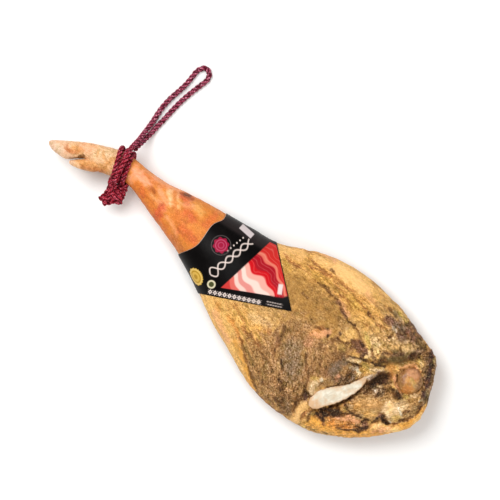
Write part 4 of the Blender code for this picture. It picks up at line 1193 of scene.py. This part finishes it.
def leg_mesh():
    """The leg from the ankle on: a grid of rings, close enough for the relief of the cut side."""
    plain, sine = leg_grid()
    x, y = plain[..., 0], plain[..., 1]
    look, rise = tissues(plain, sine)
    past_sleeve = smooth_step(x - trail_x(y), 3, 16)
    bare = np.where(x < -95, 1, past_sleeve) * smooth_step(sine, -0.1, 0.25)
    sleeved = smooth_step(x, -118, -96) * (1 - past_sleeve) * (x < 112)
    plain[..., 2] += relief(x, y) * np.clip(1.5 * sine, 0, 1) + rise * bare
    across = np.roll(plain, -1, axis=1) - np.roll(plain, 1, axis=1)
    normal = np.cross(across, np.gradient(plain, axis=0))
    normal /= np.maximum(np.linalg.norm(normal, axis=-1), 1e-9)[..., None]
    fold = grain(plain, look)
    lumps = (noise(plain, 34, 51) + 0.5 * noise(plain, 14, 52)) * np.where(x > 100, 1.0, 0.5)
    push = (1 - sleeved) * (FOLD_HEIGHT * fold + lumps) * smooth_step(plain[..., 2], 0.5, 10)
    grid = plain + normal * push[..., None]
    grid[..., 2] = np.maximum(grid[..., 2], 0)
    out = outline_distance(x, y, BONE_LEFT + BONE_RIGHT[::-1])
    sink(grid, sine, out, 14, bone_plane(x, y) - BONE_BED_DEPTH + 1.1 * np.clip(out, 0, None))
    out = np.hypot(x - BALL_AT[0], (y - BALL_AT[1]) * 0.92)
    sink(grid, sine, out, 36, leg_top(*BALL_AT) - SOCKET_DEPTH + 0.9 * np.clip(out - 20, 0, None))
    obj = closed_tube("ham_leg", grid, grid[0].mean(0), grid[-1].mean(0) + (0.6, 0, 0))
    look = np.concatenate([look.reshape(-1, 5), look[[0, -1]].mean(1)])
    paint(obj, look, np.append(fold + 0.15 * rise, (0, 0)))
    set_attribute(obj, "lean", np.append(smooth_step(x, 60, 130) * smooth_step(-y, -25, 25), (0, 0)))
    set_attribute(obj, "climb", np.append(smooth_step(x, 268, 300) * smooth_step(-y, -40, 10), (0, 0)))
    return obj


# The trotter's mesh: the first x that isn't part of it, the size of the voxels that melt its lofts into one,
# and the last section of its stub
FOOT_END_X = -270
FOOT_VOXEL = 0.9
STUB_END = (-272, 31, 31, 52, 52, 52)


def loft(name, rows, sides, side=None):
    """A closed loft through sections, which for a claw lie mirrored across the foot's middle or not."""
    if side is not None:
        rows = [(*r[:3], *sorted(FOOT_MIDDLE_Z + side * h for h in r[3:])) for r in rows]
    t = np.arange(0.1, len(rows) - 1, 0.1)
    angles = np.linspace(0, math.tau, sides, endpoint=False)
    ends = along(rows, np.array([0.0, len(rows) - 1.0]))
    return closed_tube(name, section(along(rows, t)[:, None], angles[None, :]),
                       *[(e[0], e[1:3].mean(), e[4]) for e in ends])


def melted_foot():
    """Two main claws and two dewclaws melted into the end of the leg."""
    pieces = [loft("stub", [r for r in LEG_ROWS if r[0] < FOOT_END_X] + [STUB_END], 48)]
    for side in (1, -1):
        pieces.append(loft("claw", CLAW_ROWS, 36, side))
        pieces.append(loft("dewclaw", DEWCLAW_ROWS, 30, side))
    foot = join("ham_foot", pieces)
    remesh = foot.modifiers.new("melt", "REMESH")
    remesh.mode = "VOXEL"
    remesh.voxel_size = FOOT_VOXEL * MM
    smooth = foot.modifiers.new("soften", "SMOOTH")
    smooth.factor = 0.5
    smooth.iterations = 7
    graph = bpy.context.evaluated_depsgraph_get()
    data = bpy.data.meshes.new_from_object(foot.evaluated_get(graph))
    foot.modifiers.clear()
    foot.data = data
    data.shade_smooth()
    return foot


def foot_mesh():
    """The trotter, with wrinkled skin and nearly smooth horn at the claws' tips."""
    foot = melted_foot()
    p, normals = coordinates(foot) / MM, coordinates(foot, "normal")
    horn = smooth_step(-p[:, 0], 368, 380) + smooth_step(-p[:, 0] - 0.5 * p[:, 1], 352, 360) * (p[:, 1] < -8)
    look = over(tissues(p, np.ones(len(p)))[0], TISSUES["nail"], 0.7 * horn)
    wrinkles = 0.5 * noise(p * (2.2, 0.7, 0.7), 9, 71) + 0.4 * cloud(p, 7, 2, 72)
    height = (1 - horn) * wrinkles + horn * 0.14 * noise(p * (0.3, 1.6, 1.6), 3, 74) + 0.3
    p = p + normals * (height * smooth_step(-p[:, 0], 284, 296))[:, None]
    foot.data.vertices.foreach_set("co", (p * MM).ravel())
    foot.data.update()
    paint(foot, look, (1 - horn) * wrinkles * 0.8)
    return foot


def ham_material():
    """The painted tone, varied by fibres, specks and crumbs as much as each tissue is uneven."""
    m = Nodes("cured_ham")
    place = m.place()
    tone, uneven, shine = m.attribute("tone", "Vector"), m.attribute("uneven"), m.attribute("shine")
    lean, climb = m.attribute("lean"), m.attribute("climb")
    turned, climbing = m.turn(place, 50), m.turn(place, -50)

    def directed(level, leaning, rising):
        """Noise drawn out along the leg, across it or up towards the butt: stretch and size of each."""
        made = []
        for coords, (stretch, size, warp) in zip((place, turned, climbing), (level, leaning, rising)):
            made.append(m.noise(m.stretch(coords, (stretch, 1, 1)), size, 3, 0.6, warp))
        return m.blend(climb, m.blend(lean, made[0], made[1]), made[2])

    def swing(value, low, high):
        return m.range(value, 0.3, 0.7, low, high, smooth=False)

    fibres = directed((0.3, 2.1, 0.5), (0.4, 2.1, 0.5), (0.25, 2.3, 0.5))
    wrinkle = directed((0.4, 9, 1.2), (0.5, 8, 1.2), (0.35, 8, 1.2))
    middle, speck, hue = m.noise(place, 8, 4, 0.6), m.noise(place, 1.5, 2, 0.6), m.noise(place, 12, 3, 0.6)
    crumbs = m.cells(m.shift(place, 3.0, 1.6), 3.6)
    off = m.maths("ABSOLUTE", m.minus(wrinkle, 0.5))
    crack = m.times(m.times(m.range(off, 0.035, 0.004), m.range(middle, 0.4, 0.6)), uneven, clamp=True)

    weight = m.plus(swing(middle, -0.14, 0.12), swing(fibres, -0.46, 0.34))
    weight = m.plus(weight, swing(speck, -0.46, 0.4))
    weight = m.plus(weight, m.range(crumbs, 0.1, 0.75, 0.12, -0.22))
    factor = m.plus(1.0, m.times(weight, uneven))
    # Dark places keep more of their red and lose more of their blue
    powers = {k: m.maths("POWER", factor, power) for k, power in enumerate((0.87, 1.08, 1.5))}
    colour = m.mix(1.0, tone, m.new("ShaderNodeCombineXYZ", powers).outputs[0], "MULTIPLY")
    colour = m.mix(m.times(m.range(hue, 0.52, 0.72, 0, 0.25), uneven), colour, (170, 112, 56))
    colour = m.mix(m.times(m.range(speck, 0.6, 0.72, 0, 0.45), uneven), colour, (244, 216, 168))
    # Painted shade in the fine cracks
    colour = m.mix(m.times(crack, 0.5), colour, (84, 50, 24))
    dots = m.times(m.times(m.range(m.cells(place, 6.5), 0.16, 0.07), m.range(middle, 0.5, 0.6)), uneven)
    colour = m.mix(m.times(dots, 0.5), colour, (70, 44, 24))

    height = m.times(m.plus(m.times(fibres, 0.7), m.times(speck, 0.45)), m.plus(m.times(uneven, 0.9), 0.1))
    height = m.minus(height, m.times(crack, 0.35))
    roughness = m.minus(swing(fibres, 0.92, 0.72), m.times(shine, 0.55))
    return m.done(colour, roughness, m.bump(height, 1.5, 0.9), Specular_IOR_Level=0.2)


def make_ham():
    finish = ham_material()
    finish_piece(leg_mesh(), finish, "ham")
    finish_piece(foot_mesh(), finish, "ham")


make_ham()


# Bone ends
# The ball's tissues: tissue, half width, strength, and then the x and y of each point of the stroke's line
BALL_STROKES = [
    # The brown along the ball's two sides is painted shade at its edges
    ("brown", 9, 0.9, 330, 56, 331, 38, 340, 27), ("brown", 8, 0.9, 366, 60, 371, 44, 366, 30),
    ("rose", 9, 1.0, 338, 58, 350, 60), ("pink", 6, 0.8, 342, 57, 350, 57),
    ("gold", 8, 0.8, 346, 42, 358, 36), ("yellow", 5, 0.6, 350, 47, 360, 44),
    ("orange", 6, 0.7, 350, 29, 358, 32), ("rust", 4, 0.6, 336, 44, 340, 36),
    ("umber", 2.2, 0.5, 361, 58, 366, 50),
]
BONE_RINGS, BONE_SIDE_POINTS = 110, 72
BONE_ABOVE, BONE_BELOW = 2.6, 6.0


def ball_material():
    m = Nodes("gold_cartilage")
    place = m.place()
    broad, fine = m.noise(place, 9, 4, 0.6), m.noise(place, 2.6, 3)
    colour = m.mix(1.0, m.attribute("tone", "Vector"), (212, 208, 196), "MULTIPLY")
    colour = m.mix(m.range(fine, 0.5, 0.68, 0, 0.4), colour, (226, 178, 118))
    colour = m.mix(m.range(broad, 0.48, 0.64, 0, 0.5), colour, (128, 78, 42))
    return m.done(colour, m.range(fine, 0.3, 0.7, 0.3, 0.5), m.bump(fine, 0.6, 0.6))


def make_ball():
    """The round head of the thigh bone, in a flattened dome of golden cartilage."""
    centre = np.array([*BALL_AT, leg_top(*BALL_AT) + BALL_PROUD - BALL_HEIGHT])
    mesh = bmesh.new()
    bmesh.ops.create_icosphere(mesh, subdivisions=6, radius=1)
    p = np.array([v.co for v in mesh.verts])
    rough = 1 + 0.07 * noise(p * 20, 13, 81) + 0.03 * cloud(p * 20, 5, 2, 82)
    p = p * rough[:, None] * (BALL_RADIUS + 1.5, BALL_RADIUS + 3, BALL_HEIGHT) + centre
    for v, co in zip(mesh.verts, p * MM):
        v.co = co
    data = bpy.data.meshes.new("femur_head_cap")
    mesh.to_mesh(data)
    mesh.free()
    data.shade_smooth()
    obj = linked("femur_head_cap", data)
    look = np.tile(np.array(TISSUES["orange"], float), (len(p), 1))
    x, y = (p[:, k] + 2 * noise(p, 8, seed) for k, seed in ((0, 83), (1, 84)))
    for name, width, strength, *numbers in BALL_STROKES:
        q = line_distance(x, y, list(zip(numbers[::2], numbers[1::2]))) / width
        look = over(look, TISSUES[name], strength * smooth_step(1.4 - q, 0, 0.9))
    # Brown towards the ball's foot is painted shade where it sinks into its socket
    look = over(look, TISSUES["brown"], 0.5 * smooth_step(centre[2] - p[:, 2], -9, 0))
    paint(obj, look, 0.5 * cloud(p, 6, 2, 85))
    finish_piece(obj, ball_material(), "femur_head")


def bone_material():
    m = Nodes("sawn_bone")
    place = m.place()
    broad, fine, speck = m.noise(place, 12, 4, 0.6), m.noise(place, 2.6, 4, 0.6), m.noise(place, 0.9, 3, 0.6)
    drawn = m.noise(m.stretch(m.turn(place, -62), (0.25, 1, 1)), 3.2, 3, 0.6)
    pores = m.range(m.cells(place, 1.3), 0.16, 0.06)
    colour = m.mix(m.range(broad, 0.38, 0.66), (212, 200, 176), (230, 222, 202))
    colour = m.mix(m.range(fine, 0.54, 0.74, 0, 0.4), colour, (216, 194, 160))
    colour = m.mix(m.range(drawn, 0.5, 0.66, 0, 0.6), colour, (200, 188, 166))
    colour = m.mix(m.times(m.attribute("worn"), 0.85), colour, (206, 160, 112))
    colour = m.mix(m.times(pores, 0.25), colour, (186, 146, 108))
    height = m.minus(m.plus(fine, m.times(speck, 0.4)), m.times(pores, 0.4))
    return m.done(colour, 0.6, m.bump(height, 0.7, 0.7))


def make_bone():
    """The pale edge of the sawn hip bone, as wide as its two sides in plan say."""
    shares = np.linspace(0, len(BONE_SIDES) - 1, BONE_RINGS)
    left, right = along(BONE_LEFT, shares), along(BONE_RIGHT, shares)
    angle = np.linspace(0, math.tau, BONE_SIDE_POINTS, endpoint=False)
    u, c = np.cos(angle), np.sin(angle)
    across = 0.5 + 0.5 * np.sign(u) * np.abs(u) ** 0.8
    to_side = np.abs(2 * across - 1)[None, :]
    grid = np.zeros((BONE_RINGS, BONE_SIDE_POINTS, 3))
    grid[..., :2] = left[:, None] + (right - left)[:, None] * across[None, :, None]
    frayed = 1.1 * noise(grid, 9, 95) + 0.7 * noise(grid, 4, 96)
    grid[..., 0] += frayed * to_side**2
    wide = np.linalg.norm(right - left, axis=1)[:, None]
    thick = np.where(c > 0, BONE_ABOVE, BONE_BELOW) * np.sign(c) * np.abs(c) ** 0.7
    thick = thick[None, :] * np.clip(wide / 12, 0.2, 1) ** 0.5
    grid[..., 2] = bone_plane(grid[..., 0], grid[..., 1]) - 1.0 + thick
    up = smooth_step(c, -0.2, 0.4)[None, :]
    ridge = np.exp(-((across - 0.35) / 0.22) ** 2)[None, :]
    rough = 0.6 * noise(grid, 12, 91) + 0.3 * cloud(grid, 4, 2, 92) + 0.25 * streaks(grid, 62, 4, 6, 93)
    grid[..., 2] += (rough + 1.1 * ridge) * up
    obj = closed_tube("hip_bone_edge", grid, grid[0].mean(0), grid[-1].mean(0))
    at_ends = 1.2 * smooth_step(-grid[..., 1], 66, 96) + smooth_step(grid[..., 1], -22, 0)
    worn = 0.7 * (smooth_step(to_side, 0.6, 1.0) + at_ends) + 0.7 * cloud(grid, 9, 3, 97)
    set_attribute(obj, "worn", np.append(np.clip(worn, 0, 1), (1, 1)))
    finish_piece(obj, bone_material(), "hip_bone")


make_ball()
make_bone()


# Card sleeve
# Its mesh: points round its upper and under side, rows along it, and how many of both the inside skips
CARD_TOP_SIDES, CARD_UNDER_SIDES, CARD_ROWS = 232, 60, 196
CARD_FLATNESS = 1.6
EDGE_ROUNDS = 60
PRINT_END_SINE = 0.02
CARD_THICKNESS = 0.65
CARD_INSIDE_OFFSET = 0.1
CARD_INSIDE_ROW_STEP, CARD_INSIDE_SIDE_STEP = 5, 4

# Print on the card, in plan. Colours are red, green, blue as the eye sees them.
# The lighter grey is a painted sheen of reflected light along the card's upper side
BLACK, SHEEN_GREY = (5, 3, 3), (41, 35, 35)
CREAM, CRIMSON = (236, 230, 220), (158, 16, 58)
CARD_EDGE, CARD_INSIDE = (206, 190, 180), (150, 132, 112)
INK_DULLS = (0.93, 0.88, 0.88)
PANEL = [(7.5, 85), (-1, 30), (-11, -30.5), (35, -5), (83.5, 21.5), (89, 30), (20, 87.5)]
# The panel's fields from the top down: the height that each reaches up to, and its colour
PANEL_BANDS = [
    (70, (206, 44, 40)), (62, (226, 122, 100)), (56, (170, 18, 34)), (43, (206, 16, 26)),
    (34, (240, 180, 164)), (24, (244, 226, 212)), (14, (226, 150, 140)), (4, (240, 214, 200)),
    (-6, (222, 110, 98)), (-18, (206, 62, 58)), (-40, (240, 206, 192)),
]
BRAID_LINE = ((-39, -24), (-19, 66))
BRAID_STRETCH = 5.4
LOZENGE_LINE = ((-25, -49.5), (60, -7.5))
LOZENGE_PITCH = 8.6
ORNAMENT_AT = (-56, 28)
STICKER_AT = (-36, 75)
SEAL_AT = (-57, -42.5)
RING_AT = (-27.5, -36)
SLIP_AT = (72, 31)


def spot(distance, radius, blur=0.7):
    return smooth_step(radius - distance, -blur, blur)


def from_centre(x, y, at):
    """Distance from a place in plan, and the angle round it."""
    return np.hypot(x - at[0], y - at[1]), np.arctan2(y - at[1], x - at[0])


def by_line(x, y, line):
    """How far along a straight line points lie, how far to its side, and the line's length."""
    (ax, ay), (bx, by) = line
    length = math.hypot(bx - ax, by - ay)
    run = ((x - ax) * (bx - ax) + (y - ay) * (by - ay)) / length
    return run, ((y - ay) * (bx - ax) - (x - ax) * (by - ay)) / length, length


def slip(x, y, at, cosine, sine, half_length, half_width):
    """A slanted rectangle, from 0 outside to 1 inside."""
    u = (x - at[0]) * cosine - (y - at[1]) * sine
    v = (x - at[0]) * sine + (y - at[1]) * cosine
    return spot(np.maximum(np.abs(u) - half_length, np.abs(v) - half_width), 0)


def ground(p):
    """The card's black, with a painted sheen of reflected light along its upper side."""
    sheen = smooth_step(p[:, 1] - 0.1 * p[:, 0], 62, 70) * smooth_step(-p[:, 0], -12, -4)
    return over(BLACK, SHEEN_GREY, 0.85 * sheen)


def panel_ink(ink, p, x, y):
    """A panel banded with wavy fields, some with fine veins."""
    wave = 0.30 * x + 0.95 * y + 5 * np.sin(x / 13 + y / 30) + 2.5 * np.sin(x / 5.5 - y / 17)
    fill = PANEL_BANDS[0][1]
    for level, colour in PANEL_BANDS:
        fill = over(fill, colour, smooth_step(level - wave, -1.5, 1.5))
    veins = np.clip(1 - np.abs(np.sin(wave / 2.1 + 1.4 * noise(p, 12, 121))) * 2.2, 0, 1)
    fill = over(fill, (240, 168, 148), 0.4 * veins * smooth_step(wave, 20, 34))
    return over(ink, fill, spot(outline_distance(x, y, PANEL), 0))


def braid_ink(ink, x, y):
    """Two waves that cross along a slanting line, with beads beside them."""
    run, side, length = by_line(x, y, BRAID_LINE)
    swell = 5.5 + 4.5 * smooth_step(30 - run, 0, 30)
    for phase in (0.0, math.pi):
        curve = swell * np.sin(run / BRAID_STRETCH + phase)
        slope = 1 / np.sqrt(1 + (swell / BRAID_STRETCH * np.cos(run / BRAID_STRETCH + phase)) ** 2)
        line = spot(np.abs(side - curve) * slope, 1.25) * spot(np.abs(run - length / 2), length / 2)
        ink = over(ink, CREAM, 0.95 * line)
    beads = np.hypot((run - 4.5) % 7 - 3.5, side - 13.5)
    return over(ink, CREAM, spot(beads, 1.5) * spot(np.abs(run - 68), 22))


def round_ink(ink, p, x, y):
    """A round ornament, a gold seal with a scalloped edge, and a ring with a dark green middle."""
    r, turn = from_centre(x, y, ORNAMENT_AT)
    ink = over(ink, CRIMSON, spot(r, 13.5 + 1.2 * np.cos(8 * turn)))
    ink = over(ink, (206, 120, 146), 0.8 * spot(np.abs(r - 9.5), 0.6) + 0.7 * spot(np.abs(r - 5), 0.6))
    ink = over(ink, (176, 168, 166), 0.6 * spot(np.abs(r - 17), 0.5))
    near, turn = from_centre(x, y, SEAL_AT)
    seal_z = p[np.argmin(near + 1000 * (p[:, 2] < 50)), 2]
    r = np.linalg.norm(p - (*SEAL_AT, seal_z), axis=1)
    ink = over(ink, (222, 190, 84), spot(r, 16.5 + 0.6 * np.cos(20 * turn)))
    ink = over(ink, (168, 130, 26), 0.8 * spot(np.abs(r - 10.5), 1.0) + 0.7 * spot(r, 4.5))
    ink = over(ink, (236, 222, 160), 0.6 * spot(np.abs(r - 14), 0.8))
    r, _ = from_centre(x, y, RING_AT)
    ink = over(ink, (224, 226, 190), spot(r, 7.6))
    return over(ink, (74, 82, 44), spot(r, 4.6))


def lozenge_ink(ink, x, y):
    """Solid lozenges along the lower edge with beads between them, then small dots."""
    run, side, length = by_line(x, y, LOZENGE_LINE)
    half = LOZENGE_PITCH / 2
    place = run % LOZENGE_PITCH - half
    lozenge = np.abs(place) / 4.0 + np.abs(side) / 4.7
    bead = np.hypot(half - np.abs(place), np.abs(side) - 3.2)
    shape = spot(lozenge, 1.0, 0.2) - spot(lozenge, 0.3, 0.15) + 0.8 * spot(bead, 0.9, 0.5)
    ink = over(ink, CREAM, np.clip(shape, 0, 1) * spot(np.abs(run - length / 2), length / 2))
    for row, shift in ((-1.2, 0), (3.4, 2)):
        dots = np.hypot((run + shift) % 4.4 - 2.2, side - row - 0.5)
        ink = over(ink, CREAM, 0.9 * spot(dots, 1.3) * spot(np.abs(run - 118), 14))
    return ink


def printed(p):
    """The card's colours at points of its outside."""
    x, y = p[:, 0], p[:, 1]
    ink = panel_ink(ground(p), p, x, y)
    ink = braid_ink(ink, x, y)
    ink = over(ink, (216, 214, 214), slip(x, y, STICKER_AT, 0.996, 0.07, 13.5, 5.2))
    ink = round_ink(ink, p, x, y)
    ink = lozenge_ink(ink, x, y)
    ink = over(ink, (232, 226, 220), slip(x, y, SLIP_AT, 0.5, 0.87, 9, 4))
    return ink * INK_DULLS


def sleeve_edge(angle, line_x):
    """Where the card ends along the leg: on its line in plan above, and evenly from side to side below."""
    def above(angle):
        x = np.zeros_like(angle)
        for _ in range(EDGE_ROUNDS):
            y = leg_outside(x, angle, SLEEVE_GAP + 0 * angle)[..., 1]
            x = x + 0.5 * (line_x(y) - x)
        return x

    high_x, low_x = above(np.array([0.0, math.pi]))
    share = np.clip((angle % math.tau - math.pi) / math.pi, 0, 1)
    below = low_x + (high_x - low_x) * smooth_step(share)
    return np.where(np.sin(angle) > -1e-9, above(angle), below)


def sleeve_angles():
    """Angles round the card, starting exactly at its tip."""
    tip_angle = angle_at(along(LEG_ROWS, np.interp(SLEEVE_TIP[0], TABLE_X, TABLE_T)), SLEEVE_TIP[1])
    under = math.pi * (1 + np.arange(CARD_UNDER_SIDES) / CARD_UNDER_SIDES)
    angles = np.concatenate([spread_angles(CARD_TOP_SIDES, CARD_FLATNESS), under])
    nearest = np.argmin(np.abs(angles - tip_angle))
    angles[nearest] = tip_angle
    return np.roll(angles, -nearest)


def sleeve_mesh(outer, inner):
    """The card from a fine outside and a coarser inside, joined along both rims."""
    rows, sides = outer.shape[:2]
    in_rows, in_sides = inner.shape[:2]
    count = rows * sides
    faces = grid_faces(rows, sides)
    faces += [tuple(v + count for v in reversed(f)) for f in grid_faces(in_rows, in_sides)]
    for base, in_base in ((0, count), (count - sides, count + (in_rows - 1) * in_sides)):
        for k in range(in_sides):
            rim = [base + (k * CARD_INSIDE_SIDE_STEP + j) % sides for j in range(CARD_INSIDE_SIDE_STEP + 1)]
            faces.append((in_base + k, in_base + (k + 1) % in_sides, *reversed(rim)))
    obj = mesh_object("printed_card", np.concatenate([outer.reshape(-1, 3), inner.reshape(-1, 3)]), faces)
    face_outwards(obj)
    return obj


def card_material():
    m = Nodes("printed_card")
    place = m.place()
    fine, wear, scuff = m.noise(place, 1.2, 3), m.noise(place, 26, 4, 0.6), m.noise(place, 3, 4, 0.7)
    colour = m.mix(m.range(wear, 0.45, 0.75, 0, 0.012), m.attribute("tone", "Vector"), (150, 140, 134))
    colour = m.mix(m.range(scuff, 0.68, 0.8, 0, 0.06), colour, (170, 160, 150))
    roughness = m.range(scuff, 0.3, 0.7, 0.34, 0.46)
    return m.done(colour, roughness, m.bump(fine, 0.05, 0.3), Specular_IOR_Level=0.07)


def make_sleeve():
    angles = sleeve_angles()
    start, end = sleeve_edge(angles, lead_x), sleeve_edge(angles, trail_x)
    x = start + (end - start) * np.linspace(0, 1, CARD_ROWS)[:, None]
    a = np.broadcast_to(angles, x.shape)
    inside = SLEEVE_GAP + SLEEVE_TIP_LIFT * smooth_step(x, 40, 110)
    probe = leg_outside(x, a, inside)
    buckle = np.maximum(0.5 * noise(probe, 60, 101) + 0.22 * noise(probe, 24, 102), -0.5)
    inside = inside + buckle + CARD_INSIDE_OFFSET
    inner = leg_outside(x, a, inside)[::CARD_INSIDE_ROW_STEP, ::CARD_INSIDE_SIDE_STEP]
    outer = leg_outside(x, a, inside + CARD_THICKNESS)
    obj = sleeve_mesh(outer, inner)
    flat = outer.reshape(-1, 3)
    ink = np.where((np.sin(a).ravel() > PRINT_END_SINE)[:, None], printed(flat), ground(flat))
    ink[:len(angles)] = CARD_EDGE
    unprinted = np.tile(np.array(CARD_INSIDE, float), (inner.size // 3, 1))
    set_attribute(obj, "tone", to_linear(np.concatenate([ink, unprinted])))
    finish_piece(obj, card_material(), "card_sleeve")


make_sleeve()
